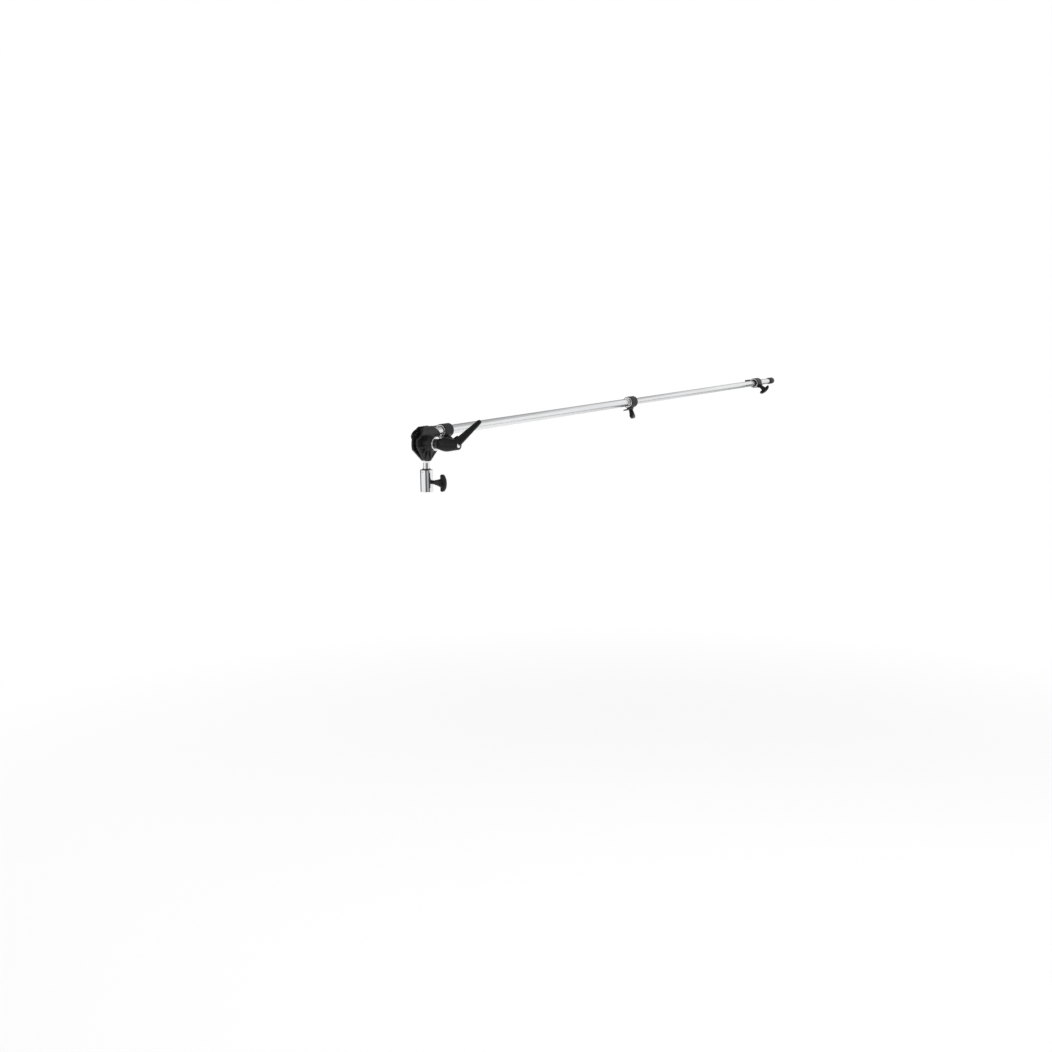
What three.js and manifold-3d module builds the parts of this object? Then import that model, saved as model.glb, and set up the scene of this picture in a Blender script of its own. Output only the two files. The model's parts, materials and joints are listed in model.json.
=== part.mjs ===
// Reflector holder arm: a stand socket with a stem, a tilting clamp head with a ratchet lever,
// and a telescopic arm that carries a lock collar, two rim clips and an end cap.
// Millimetres, +Z up. The origin is the centre of the socket's bottom face, +X runs along the
// arm away from the stand, and -Y is the side of the lever.

import * as THREE from 'three';
import { mergeVertices } from 'three/addons/utils/BufferGeometryUtils.js';
import Module from 'manifold-3d';

const wasm = await Module();
wasm.setup();

// Fits between neighbours, and the overrun that carries a cutter past a face
const fit = { pressed: 0.06, running: 0.12, thread: 0.15, sliding: 0.2, seat: 0.2, end: 0.3 };
const overrun = 1;
const weldDistance = 1e-4;
const quarterTurn = Math.PI / 2;

// Facets round a turned piece, and the finer ones of the jaws and the lever
const turnedSides = 24;
const smallSides = 12;
const hubSides = 16;
const jawSides = 44;
const barrelSides = 28;
const wireSides = 5;
const stepsPerTurn = 8;
const cornerSegments = 3;

// Stand socket: slides over a 16 mm stud
const socket = {
  boreRadius: 8.1,
  wall: 4.6,
  length: 45,
  floor: 8,
  chamfer: 0.9,
  screwHeight: 20.5,
  pinRadius: 1.5,
};

// Stem: round in the socket, milled flat between the jaws, with an eye round the axle
const stem = {
  radius: 6.5,
  flatThickness: 4.4,
  flatStartBelowJaw: 3,
  eyeGap: 0.8,
  ringWall: 1.7,
  ringThickness: 1.8,
};

// Axle of the head and its height over the socket's top face
const axle = {
  aboveSocket: 53,
  radius: 5,
  headAcrossFlats: 17,
  headThickness: 6.4,
  threadInLever: 22,
};

// Cast jaws: each a disc with flats, a saddle over the arm, a boss and ribs
const jaw = {
  radius: 36,
  halfGap: 3.4,
  plateThickness: 3.8,
  rimWidth: 3.4,
  rimProud: 0.9,
  saddleWall: 3.4,
  bossFoot: 19,
  bossTop: 13,
  frontBoss: 16.8,
  rearBoss: 8.5,
  ribThickness: 4,
  ribHeight: 4,
  ribFootInset: 2.4,
  ribAngles: [-168, -139, -110, -81, -12],
};
// Each flat on a jaw's edge: the direction it faces, and how far in from the round edge it lies
const jawFlats = [
  { degrees: -50, cut: 5.5 },
  { degrees: 90, cut: 2.5 },
  { degrees: 135, cut: 1.5 },
  { degrees: 215, cut: 4.5 },
];
const jawSpring = { pocketRadius: 8, pocketDepth: 9, wireRadius: 0.6, turns: 4.5, clearance: 0.4 };
const frictionWasher = { thickness: 0.8 };
const thrustWasher = { radius: 14, thickness: 3, chamfer: 0.7 };

// Arm: outer tube, inner tube and their places along X
const arm = {
  aboveAxle: 19.5,
  outerRadius: 9.5,
  outerWall: 1.3,
  outerStart: -12,
  outerEnd: 820,
  innerWall: 1.2,
  overlap: 85,
  innerPastOuter: 840,
};
const endPlug = { flange: 2.6, spigot: 14, edge: 0.7, hollowShare: 0.6 };
const guideBush = { flange: 8, spigot: 12 };
const endCap = {
  wall: 1.2,
  depth: 23,
  floor: 4,
  edge: 2.2,
  gripRings: 2,
  gripDepth: 0.5,
  gripWidth: 1.4,
};

// Collars shared by the lock and the rim clips
const collar = {
  bushWall: 1,
  shellWall: 3.5,
  length: 28,
  chamfer: 1.3,
  bossHeight: 2,
  bossWidth: 15,
  bossDepth: 13,
  screwFromMiddle: 7,
};
const chromeRing = { innerGap: 0.3, rimInset: 1.5, thickness: 1.8, proud: 0.7 };
const lockCollar = { pastTube: 7, screwAngle: 17, gripTurn: -20 };
const lockTab = { width: 12, thickness: 2.6, reach: 30, tail: 6.5, slotWidth: 3.6, slotLength: 9 };
const lockShoe = { screwInset: 0.1, thickness: 1.5, holeGap: 1.6 };
const nearClip = { pastJaw: 11, screwAngle: 49, gripTurn: 45, inward: 1 };
const farClip = { beforeEnd: 124, screwAngle: 53, gripTurn: 45, inward: -1 };

// Hook behind a rim clip: a rim goes between the collar and the lip
const hook = {
  gap: 10,
  lip: 4.2,
  wall: 7,
  height: 16,
  reach: 28,
  corner: 3,
  bead: 1.2,
  padThickness: 1.4,
  padInset: 1.5,
};

// Hand screws: the small ones on the collars and the large one on the socket
const smallScrew = {
  radius: 3,
  hubRadius: 5.2,
  hubTopRadius: 6.4,
  hubLength: 12.5,
  barLength: 33,
  barHeight: 10,
  barThickness: 9,
  barShoulderShare: 0.62,
  grip: 12,
};
const largeScrew = {
  radius: 4,
  start: 22,
  hubRadius: 5.4,
  hubTopRadius: 8.6,
  hubLength: 14.5,
  barLength: 34.5,
  barHeight: 12,
  barThickness: 8.5,
  barShoulderShare: 0.55,
  grip: 15,
};
// Parts of a bar's half length, height or thickness that its rounded outline turns at
const bar = {
  footShare: 0.86,
  shoulderShare: 0.8,
  crownShare: 0.5,
  sideShare: 0.25,
  slopeShare: 0.125,
  bevelShare: 0.2,
};
const tipChamferShare = 1 / 6;

// Ratchet lever: stations are distances out from the middle of the head
const lever = {
  insertWall: 5,
  insertNeck: 9,
  toothWall: 3,
  toothRing: 4,
  toothCount: 16,
  toothHeight: 0.9,
  insertTopWall: 2.2,
  insertTop: 32,
  mouthWall: 1.2,
  mouthStart: 7.4,
  bellySwell: 2.8,
  bellyStart: 20,
  bellyEnd: 27,
  noseWall: 2.6,
  length: 55.5,
  noseEdge: 1.2,
  barrelSwell: 0.2,
  springFloor: 41,
  wellGap: 0.8,
  screwRadius: 2.5,
  screwHeadRadius: 5.2,
  screwHeadThickness: 3.2,
  screwHeadSunk: 0.8,
  slotWidth: 1.3,
  slotDepth: 1.3,
  springWire: 0.6,
  springTurns: 5,
  springClearance: 0.6,
};
const leverArm = {
  root: 46.5,
  rootRise: 1.5,
  tip: [44.5, 46, 76],
  rootHalfWidth: 9.5,
  rootHalfThickness: 8.5,
  tipHalfWidth: 4.7,
  tipHalfThickness: 4.6,
  sides: 16,
  rings: 4,
};

// Places worked out from the sizes above
const socketRadius = socket.boreRadius + socket.wall;
const boreDepth = socket.length - socket.floor;
const axleHeight = socket.length + axle.aboveSocket;
const armHeight = axleHeight + arm.aboveAxle;
const outerBore = arm.outerRadius - arm.outerWall;
const innerRadius = outerBore - fit.sliding;
const innerBore = innerRadius - arm.innerWall;
const innerStart = arm.outerEnd - arm.overlap;
const innerEnd = arm.outerEnd + arm.innerPastOuter;
const bushRadius = arm.outerRadius + collar.bushWall;
const collarRadius = bushRadius + collar.shellWall;
const ringOuter = collarRadius - chromeRing.rimInset;
const lockStart = arm.outerEnd + lockCollar.pastTube - collar.length;
const nearStart = jaw.radius + nearClip.pastJaw;
const farStart = innerEnd - farClip.beforeEnd;
const eyeRadius = arm.aboveAxle - arm.outerRadius - stem.eyeGap;
const jawFace = jaw.halfGap + jaw.plateThickness;
const frontBossTop = jawFace + jaw.frontBoss;
const rearBossTop = jawFace + jaw.rearBoss;
const leverBase = frontBossTop + thrustWasher.thickness + 2 * fit.seat;
const stemFlatStart = axleHeight - jaw.radius - stem.flatStartBelowJaw;
const pinHeight = (boreDepth + socket.length) / 2;
const leverBoreDepth = axle.threadInLever + fit.seat;
const leverThreadStart = (lever.insertTop + leverBoreDepth) / 2;
const insertRadius = axle.radius + lever.insertWall;
const insertTopRadius = axle.radius + lever.insertTopWall;
const toothRadius = axle.radius + lever.toothWall;
const mouthRadius = insertRadius + lever.mouthWall;
const bellyRadius = mouthRadius + lever.bellySwell;
const springWell = lever.screwHeadRadius + lever.wellGap;
const noseRadius = springWell + lever.noseWall;

const finishes = {
  black: new THREE.MeshStandardMaterial({ color: 0x232425, roughness: 0.55, metalness: 0.1 }),
  casting: new THREE.MeshStandardMaterial({ color: 0x1f2021, roughness: 0.5, metalness: 0.3 }),
  chrome: new THREE.MeshStandardMaterial({ color: 0xdfe2e6, roughness: 0.08, metalness: 1 }),
  tube: new THREE.MeshStandardMaterial({ color: 0xd4d6da, roughness: 0.2, metalness: 1 }),
  steel: new THREE.MeshStandardMaterial({ color: 0xa9acb0, roughness: 0.35, metalness: 1 }),
  darkSteel: new THREE.MeshStandardMaterial({ color: 0x2a2b2c, roughness: 0.4, metalness: 1 }),
  nylon: new THREE.MeshStandardMaterial({ color: 0x161718, roughness: 0.7, metalness: 0 }),
  rubber: new THREE.MeshStandardMaterial({ color: 0x111112, roughness: 0.9, metalness: 0 }),
};

// A closed surface with shared corners, no collapsed triangles, and its faces out
function weld(geometry) {
  const bare = geometry.clone();
  bare.deleteAttribute('normal');
  bare.deleteAttribute('uv');
  const welded = mergeVertices(bare, weldDistance);
  const corners = welded.index.array;
  const kept = [];
  for (let i = 0; i < corners.length; i += 3) {
    const [a, b, c] = [corners[i], corners[i + 1], corners[i + 2]];
    if (a !== b && b !== c && c !== a) kept.push(a, b, c);
  }
  welded.setIndex(kept);
  if (volumeOf(welded) < 0) welded.setIndex(kept.reverse());
  return welded;
}

function volumeOf(geometry) {
  const places = geometry.attributes.position;
  const corners = geometry.index.array;
  const [a, b, c] = [new THREE.Vector3(), new THREE.Vector3(), new THREE.Vector3()];
  let sum = 0;
  for (let i = 0; i < corners.length; i += 3) {
    a.fromBufferAttribute(places, corners[i]);
    b.fromBufferAttribute(places, corners[i + 1]);
    c.fromBufferAttribute(places, corners[i + 2]);
    sum += a.dot(b.cross(c));
  }
  return sum;
}

function toManifold(geometry) {
  const vertProperties = new Float32Array(geometry.attributes.position.array);
  const triVerts = new Uint32Array(geometry.index.array);
  return new wasm.Manifold(new wasm.Mesh({ numProp: 3, vertProperties, triVerts }));
}

function toGeometry(manifold) {
  const { vertProperties, triVerts } = manifold.getMesh();
  const geometry = new THREE.BufferGeometry();
  geometry.setAttribute('position', new THREE.BufferAttribute(vertProperties, 3));
  geometry.setIndex(Array.from(triVerts));
  return geometry;
}

function combine(operation, first, others) {
  let result = toManifold(first);
  for (const other of others) result = result[operation](toManifold(other));
  return toGeometry(result);
}

const join = (first, ...others) => combine('add', first, others);
const carve = (first, ...others) => combine('subtract', first, others);
const common = (first, ...others) => combine('intersect', first, others);

// A profile of [radius, height] pairs turned round Z
function turned(profile, sides = turnedSides) {
  const points = profile.map(([radius, height]) => new THREE.Vector2(radius, height));
  return weld(new THREE.LatheGeometry(points, sides).rotateX(quarterTurn));
}

function rod(radius, from, to, sides = turnedSides) {
  return turned([[0, from], [radius, from], [radius, to], [0, to]], sides);
}

// A rod with the same chamfer at both ends
function chamferedRod(radius, from, to, chamfer, sides = turnedSides) {
  const profile = [
    [0, from], [radius - chamfer, from], [radius, from + chamfer],
    [radius, to - chamfer], [radius - chamfer, to], [0, to],
  ];
  return turned(profile, sides);
}

// A cutter whose flats, not its corners, are at the radius, so that a round piece turns inside
function turningBore(radius, from, to, sides = turnedSides) {
  return rod(radius / Math.cos(Math.PI / sides), from, to, sides);
}

function pipe(inner, outer, from, to, sides = turnedSides) {
  return turned([[inner, from], [outer, from], [outer, to], [inner, to], [inner, from]], sides);
}

function block(width, depth, height, x = 0, y = 0, z = 0) {
  return weld(new THREE.BoxGeometry(width, depth, height).translate(x, y, z));
}

// A flat outline in XY drawn out along Z
function slab(shape, from, to, curveSegments = 8) {
  const settings = { depth: to - from, bevelEnabled: false, curveSegments };
  return weld(new THREE.ExtrudeGeometry(shape, settings).translate(0, 0, from));
}

function polygon(count, radius) {
  const shape = new THREE.Shape();
  for (let i = 0; i < count; i += 1) {
    const angle = (i / count) * 2 * Math.PI;
    shape[i ? 'lineTo' : 'moveTo'](radius * Math.cos(angle), radius * Math.sin(angle));
  }
  return shape;
}

// Turns a piece made along Z so that it lies along X
const alongX = (geometry) => geometry.rotateY(quarterTurn);

// Turns a piece made along Z so that it points down, at an angle towards the front
const pointedDown = (geometry, degrees) =>
  geometry.rotateX(Math.PI).rotateX(-THREE.MathUtils.degToRad(degrees));

class Helix extends THREE.Curve {
  constructor(radius, from, to, turns) {
    super();
    Object.assign(this, { radius, from, to, turns });
  }

  getPoint(t, target = new THREE.Vector3()) {
    const angle = 2 * Math.PI * this.turns * t;
    const height = THREE.MathUtils.lerp(this.from, this.to, t);
    return target.set(this.radius * Math.cos(angle), this.radius * Math.sin(angle), height);
  }
}

function coilSpring(radius, wireRadius, from, to, turns) {
  const path = new Helix(radius, from + wireRadius, to - wireRadius, turns);
  const steps = Math.round(turns * stepsPerTurn);
  const settings = { steps, bevelEnabled: false, extrudePath: path };
  return weld(new THREE.ExtrudeGeometry(polygon(wireSides, wireRadius), settings));
}

// Rings of points joined one to the next, closed by a fan at each end
function loft(rings) {
  const count = rings[0].length;
  const places = rings.flat().flatMap((point) => point.toArray());
  const corners = [];
  for (let r = 0; r + 1 < rings.length; r += 1) {
    for (let i = 0; i < count; i += 1) {
      const next = (i + 1) % count;
      const [a, b] = [r * count + i, r * count + next];
      corners.push(a, b, b + count, a, b + count, a + count);
    }
  }
  const last = (rings.length - 1) * count;
  for (let i = 1; i + 1 < count; i += 1) {
    corners.push(0, i + 1, i, last, last + i, last + i + 1);
  }
  const geometry = new THREE.BufferGeometry();
  geometry.setAttribute('position', new THREE.Float32BufferAttribute(places, 3));
  geometry.setIndex(corners);
  return weld(geometry);
}

function addMesh(parent, name, geometry, finish) {
  const plain = geometry.index ? geometry.toNonIndexed() : geometry;
  plain.computeVertexNormals();
  const mesh = new THREE.Mesh(plain, finish);
  mesh.name = name;
  parent.add(mesh);
  return mesh;
}

// Stand side: socket, ring, stem and cross pin
function socketBody() {
  const { boreRadius, length, chamfer, screwHeight, pinRadius } = socket;
  const radius = socketRadius;
  const shell = turned([
    [boreRadius + chamfer, 0],
    [radius - chamfer, 0],
    [radius, chamfer],
    [radius, length - chamfer],
    [radius - chamfer, length],
    [stem.radius + fit.pressed, length],
    [stem.radius + fit.pressed, boreDepth],
    [boreRadius, boreDepth],
    [boreRadius, chamfer],
    [boreRadius + chamfer, 0],
  ]);
  const screwHole = rod(largeScrew.radius + fit.thread, 0, radius + overrun, smallSides);
  screwHole.rotateX(quarterTurn).translate(0, 0, screwHeight);
  const pinHole = rod(pinRadius + fit.pressed, -radius - overrun, radius + overrun, smallSides);
  alongX(pinHole).translate(0, 0, pinHeight);
  return carve(shell, screwHole, pinHole);
}

function stemBody() {
  const { radius, flatThickness } = stem;
  const round = rod(radius, boreDepth + fit.seat, stemFlatStart);
  const upper = rod(radius, stemFlatStart - overrun, axleHeight);
  const flat = block(3 * radius, flatThickness, 2 * axleHeight);
  const eye = rod(eyeRadius, -flatThickness / 2, flatThickness / 2);
  eye.rotateX(quarterTurn).translate(0, 0, axleHeight);
  const axleHole = turningBore(axle.radius + fit.running, -flatThickness, flatThickness);
  axleHole.rotateX(quarterTurn).translate(0, 0, axleHeight);
  const pinHole = rod(socket.pinRadius + fit.pressed, -2 * radius, 2 * radius, smallSides);
  alongX(pinHole).translate(0, 0, pinHeight);
  return carve(join(round, common(upper, flat), eye), axleHole, pinHole);
}

// A hand screw's shank and its T-shaped grip, made along +Z from the thread's tip
function screwShank(size, tip, end) {
  return chamferedRod(size.radius, tip, end, size.radius * tipChamferShare, smallSides);
}

function screwGrip(size, start) {
  const { hubRadius, hubTopRadius, hubLength, barLength, barHeight, barThickness } = size;
  const [halfLength, foot, top] = [barLength / 2, start + hubLength, start + hubLength + barHeight];
  const hub = turned([
    [0, start],
    [hubRadius, start],
    [hubTopRadius, foot],
    [hubTopRadius, foot + barHeight / 2],
    [0, foot + barHeight / 2],
  ], hubSides);
  const [footEnd, shoulderEnd] = [halfLength * bar.footShare, halfLength * bar.shoulderShare];
  const crownEnd = halfLength * bar.crownShare;
  const side = foot + barHeight * bar.sideShare;
  const shoulder = foot + barHeight * size.barShoulderShare;
  const slope = shoulder + barHeight * bar.slopeShare;
  const outline = new THREE.Shape();
  outline.moveTo(-footEnd, foot);
  outline.lineTo(footEnd, foot);
  outline.quadraticCurveTo(halfLength, foot, halfLength, side);
  outline.quadraticCurveTo(halfLength, shoulder, shoulderEnd, slope);
  outline.quadraticCurveTo(crownEnd, top, 0, top);
  outline.quadraticCurveTo(-crownEnd, top, -shoulderEnd, slope);
  outline.quadraticCurveTo(-halfLength, shoulder, -halfLength, side);
  outline.quadraticCurveTo(-halfLength, foot, -footEnd, foot);
  const bevel = barThickness * bar.bevelShare;
  const settings = {
    depth: barThickness - 2 * bevel,
    curveSegments: 4,
    bevelSize: bevel,
    bevelThickness: bevel,
    bevelOffset: -bevel,
    bevelSegments: 2,
  };
  const wing = new THREE.ExtrudeGeometry(outline, settings);
  wing.translate(0, 0, bevel - barThickness / 2).rotateX(quarterTurn);
  const well = turningBore(size.radius + fit.running, start - overrun, start + size.grip, smallSides);
  return carve(join(hub, weld(wing)), well);
}

// Jaws, made with Z pointing out from the middle of the head and Y up
function jawOutline(inset = 0) {
  const radius = jaw.radius - inset;
  const shape = new THREE.Shape();
  jawFlats.forEach(({ degrees, cut }, index) => {
    const next = jawFlats[(index + 1) % jawFlats.length];
    const turn = next.degrees < degrees ? 2 * Math.PI : 0;
    const spread = Math.acos((radius - cut) / radius);
    const nextSpread = Math.acos((radius - next.cut) / radius);
    const from = THREE.MathUtils.degToRad(degrees) + spread;
    const to = THREE.MathUtils.degToRad(next.degrees) + turn - nextSpread;
    shape.absarc(0, 0, radius, from, to, false);
  });
  return shape;
}

function jawBody(bossLength) {
  const { radius, halfGap, rimWidth, rimProud, saddleWall, bossFoot, bossTop } = jaw;
  const segments = jawSides / 2;
  const plate = slab(jawOutline(), halfGap, jawFace, segments);
  const rimShape = jawOutline();
  rimShape.holes.push(jawOutline(rimWidth));
  const rim = slab(rimShape, jawFace - rimProud, jawFace + rimProud, segments);
  const boss = turned([
    [0, halfGap + overrun],
    [bossFoot, halfGap + overrun],
    [bossFoot, jawFace],
    [bossTop, jawFace + bossLength],
    [0, jawFace + bossLength],
  ]);
  const saddleRadius = arm.outerRadius + saddleWall;
  const saddleRod = alongX(rod(saddleRadius, -radius, radius)).translate(0, arm.aboveAxle, 0);
  const clip = slab(jawOutline(jaw.ribFootInset), halfGap, frontBossTop, segments);
  const saddleClip = slab(jawOutline(), halfGap, frontBossTop, segments);
  const ribs = jaw.ribAngles.map((degrees) => {
    const side = new THREE.Shape();
    side.moveTo(bossTop, jawFace - overrun);
    side.lineTo(radius, jawFace - overrun);
    side.lineTo(radius, jawFace + rimProud);
    side.lineTo(bossTop, jawFace + jaw.ribHeight);
    const rib = slab(side, -jaw.ribThickness / 2, jaw.ribThickness / 2);
    return rib.rotateX(quarterTurn).rotateZ(THREE.MathUtils.degToRad(degrees));
  });
  const saddle = common(saddleRod, saddleClip);
  const body = join(plate, rim, boss, saddle, common(join(...ribs), clip));
  const groove = rod(arm.outerRadius + fit.running, -radius - overrun, radius + overrun);
  alongX(groove).translate(0, arm.aboveAxle, 0);
  const axleHole = rod(axle.radius + fit.running, 0, jawFace + bossLength + overrun, smallSides);
  return carve(body, groove, axleHole);
}

function frontJawBody() {
  const pocketTop = jaw.halfGap + jawSpring.pocketDepth;
  return carve(jawBody(jaw.frontBoss), rod(jawSpring.pocketRadius, 0, pocketTop));
}

const hexRadius = (acrossFlats) => acrossFlats / 2 / Math.cos(Math.PI / 6);

function rearJawBody() {
  const { headAcrossFlats, headThickness } = axle;
  const recess = polygon(6, hexRadius(headAcrossFlats + 2 * fit.seat));
  const floor = rearBossTop - headThickness;
  return carve(jawBody(jaw.rearBoss), slab(recess, floor, rearBossTop + overrun));
}

// The axle runs along Z here: its head is behind, its thread ends inside the lever
function axleBody() {
  const { radius, headAcrossFlats, headThickness, threadInLever } = axle;
  const headTop = -(rearBossTop - headThickness + fit.seat);
  const head = slab(polygon(6, hexRadius(headAcrossFlats)), headTop - headThickness, headTop);
  const shank = rod(radius, headTop - overrun, leverBase + threadInLever, smallSides);
  return join(head, shank);
}

// Ratchet lever, with stations counted from its base
function toothedRing(radius, height, from, to) {
  const shape = new THREE.Shape();
  const corners = 4 * lever.toothCount;
  for (let i = 0; i < corners; i += 1) {
    const angle = ((i + 0.5) / corners) * 2 * Math.PI;
    const reach = i % 4 < 2 ? radius + height : radius;
    shape[i ? 'lineTo' : 'moveTo'](reach * Math.cos(angle), reach * Math.sin(angle));
  }
  return slab(shape, from, to);
}

function leverInsert() {
  const { insertNeck, toothRing, toothHeight, insertTop, screwRadius } = lever;
  const core = turned([
    [0, leverBoreDepth],
    [axle.radius + fit.running, leverBoreDepth],
    [axle.radius + fit.running, 0],
    [insertRadius, 0],
    [insertRadius, insertNeck],
    [insertTopRadius, insertNeck],
    [insertTopRadius, insertTop],
    [screwRadius + fit.running, insertTop],
    [screwRadius + fit.running, leverThreadStart],
    [0, leverThreadStart],
  ]);
  const ring = toothedRing(toothRadius, toothHeight, insertNeck - overrun, insertNeck + toothRing);
  const hollow = rod(axle.radius + fit.running, -overrun, leverBoreDepth);
  return join(core, carve(ring, hollow));
}

function leverHandle() {
  const { mouthStart, bellyStart, bellyEnd, length, noseEdge, barrelSwell } = lever;
  const { insertTop, springFloor, screwRadius, toothHeight, toothRing, insertNeck } = lever;
  const barrel = turned([
    [0, mouthStart],
    [mouthRadius, mouthStart],
    [(mouthRadius + bellyRadius) / 2 + barrelSwell, (mouthStart + bellyStart) / 2],
    [bellyRadius, bellyStart],
    [bellyRadius, bellyEnd],
    [(bellyRadius + noseRadius) / 2 + barrelSwell, (bellyEnd + length) / 2],
    [noseRadius, length - noseEdge],
    [noseRadius - noseEdge, length],
    [0, length],
  ], barrelSides);
  const { root, rootRise, tip, rootHalfWidth, rootHalfThickness, tipHalfWidth, tipHalfThickness } = leverArm;
  const start = new THREE.Vector3(0, rootRise, root);
  const end = new THREE.Vector3(...tip);
  const along = end.clone().sub(start).normalize();
  const across = new THREE.Vector3(0, 0, 1).cross(along).normalize();
  const over = along.clone().cross(across);
  const ring = (place, halfWidth, halfThickness) =>
    Array.from({ length: leverArm.sides }, (_, i) => {
      const angle = (i / leverArm.sides) * 2 * Math.PI;
      return place.clone()
        .addScaledVector(over, halfWidth * Math.cos(angle))
        .addScaledVector(across, halfThickness * Math.sin(angle));
    });
  const rings = [];
  const straight = start.distanceTo(end) - tipHalfWidth;
  for (let i = 0; i <= leverArm.rings; i += 1) {
    const share = i / leverArm.rings;
    const place = start.clone().addScaledVector(along, straight * share);
    const halfWidth = THREE.MathUtils.lerp(rootHalfWidth, tipHalfWidth, share);
    const halfThickness = THREE.MathUtils.lerp(rootHalfThickness, tipHalfThickness, share);
    rings.push(ring(place, halfWidth, halfThickness));
  }
  for (const angle of [Math.PI / 6, Math.PI / 3, Math.PI / 2.2]) {
    const place = start.clone().addScaledVector(along, straight + tipHalfWidth * Math.sin(angle));
    rings.push(ring(place, tipHalfWidth * Math.cos(angle), tipHalfThickness * Math.cos(angle)));
  }
  const neckWell = rod(insertRadius + fit.seat, mouthStart - overrun, insertNeck + fit.seat);
  const toothTop = insertNeck + toothRing;
  const toothWell = toothedRing(toothRadius + fit.seat, toothHeight, insertNeck, toothTop + fit.seat);
  const upperWell = rod(toothRadius + toothHeight + fit.seat, toothTop, insertTop + fit.seat);
  const screwHole = rod(screwRadius + fit.seat, insertTop, length, smallSides);
  const springHole = rod(springWell, springFloor, length + overrun);
  return carve(join(barrel, loft(rings)), neckWell, toothWell, upperWell, screwHole, springHole);
}

function leverScrew() {
  const { length, screwRadius, screwHeadRadius, screwHeadThickness } = lever;
  const { screwHeadSunk, slotWidth, slotDepth } = lever;
  const top = length - screwHeadSunk;
  const headFoot = top - screwHeadThickness;
  const shank = rod(screwRadius, leverThreadStart + fit.seat, headFoot + overrun, smallSides);
  const head = chamferedRod(screwHeadRadius, headFoot, top, screwHeadThickness * tipChamferShare);
  const slot = block(2 * screwHeadRadius + overrun, slotWidth, 2 * slotDepth, 0, 0, top);
  return carve(join(shank, head), slot);
}

function leverSpring() {
  const { springFloor, length, screwHeadSunk, screwHeadThickness } = lever;
  const top = length - screwHeadSunk - screwHeadThickness - fit.seat;
  const radius = springWell - lever.springWire - lever.springClearance;
  return coilSpring(radius, lever.springWire, springFloor + fit.seat, top, lever.springTurns);
}

// Arm pieces, made along Z and laid along X
function outerTube() {
  const tube = pipe(outerBore, arm.outerRadius, arm.outerStart, arm.outerEnd);
  const hole = rod(smallScrew.radius + lockShoe.holeGap, 0, collarRadius, smallSides);
  const screwPlace = lockStart + collar.length / 2 - collar.screwFromMiddle;
  pointedDown(hole, lockCollar.screwAngle).translate(screwPlace, 0, 0);
  return carve(alongX(tube), hole);
}

function endPlugBody() {
  const { flange, spigot, edge, hollowShare } = endPlug;
  const start = arm.outerStart - fit.seat;
  const spigotRadius = outerBore - fit.running;
  return alongX(turned([
    [0, start - flange],
    [arm.outerRadius - edge, start - flange],
    [arm.outerRadius, start - flange + edge],
    [arm.outerRadius, start],
    [spigotRadius, start],
    [spigotRadius, start + spigot],
    [spigotRadius * hollowShare, start + spigot],
    [spigotRadius * hollowShare, start],
    [0, start],
  ]));
}

function guideBushBody() {
  const { flange, spigot } = guideBush;
  const start = innerStart - fit.seat;
  return alongX(turned([
    [innerBore / 2, start - flange],
    [outerBore - fit.running, start - flange],
    [outerBore - fit.running, start],
    [innerBore - fit.running, start],
    [innerBore - fit.running, start + spigot],
    [innerBore / 2, start + spigot],
    [innerBore / 2, start - flange],
  ]));
}

function endCapBody() {
  const { wall, depth, floor, edge, gripRings, gripDepth, gripWidth } = endCap;
  const radius = innerRadius + wall;
  const mouth = innerEnd + fit.seat - depth;
  const end = mouth + depth + floor;
  const boreRadius = innerRadius + fit.pressed;
  const profile = [[0, mouth + depth], [boreRadius, mouth + depth], [boreRadius, mouth]];
  profile.push([radius - gripDepth, mouth], [radius, mouth + gripDepth]);
  for (let i = 0; i < gripRings; i += 1) {
    const place = mouth + (2 + 2 * i) * gripWidth;
    profile.push([radius, place], [radius - gripDepth, place + gripDepth]);
    profile.push([radius - gripDepth, place + gripWidth - gripDepth], [radius, place + gripWidth]);
  }
  profile.push([radius, end - edge], [radius - edge / 3, end - edge / 3]);
  profile.push([radius - edge, end], [0, end]);
  return alongX(turned(profile));
}

// Collars, made along X round their own middle
function collarShell(boreRadius, screwAngle, screwOffset) {
  const { length, chamfer, bossHeight, bossWidth, bossDepth } = collar;
  const radius = collarRadius;
  const half = length / 2;
  const profile = [
    [boreRadius, -half],
    [radius - chamfer, -half],
    [radius, -half + chamfer],
    [radius, half - chamfer],
    [radius - chamfer, half],
    [boreRadius, half],
    [boreRadius, -half],
  ];
  const shell = alongX(turned(profile, barrelSides));
  const bossTop = radius + bossHeight;
  const bossFoot = boreRadius + bossHeight;
  const bossMiddle = (bossTop + bossFoot) / 2;
  const boss = block(bossWidth, bossDepth, bossTop - bossFoot, screwOffset, 0, bossMiddle);
  pointedDown(boss, screwAngle);
  const hole = rod(smallScrew.radius + fit.thread, 0, bossTop + overrun, smallSides);
  pointedDown(hole.translate(screwOffset, 0, 0), screwAngle);
  return carve(join(shell, boss), hole);
}

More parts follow.
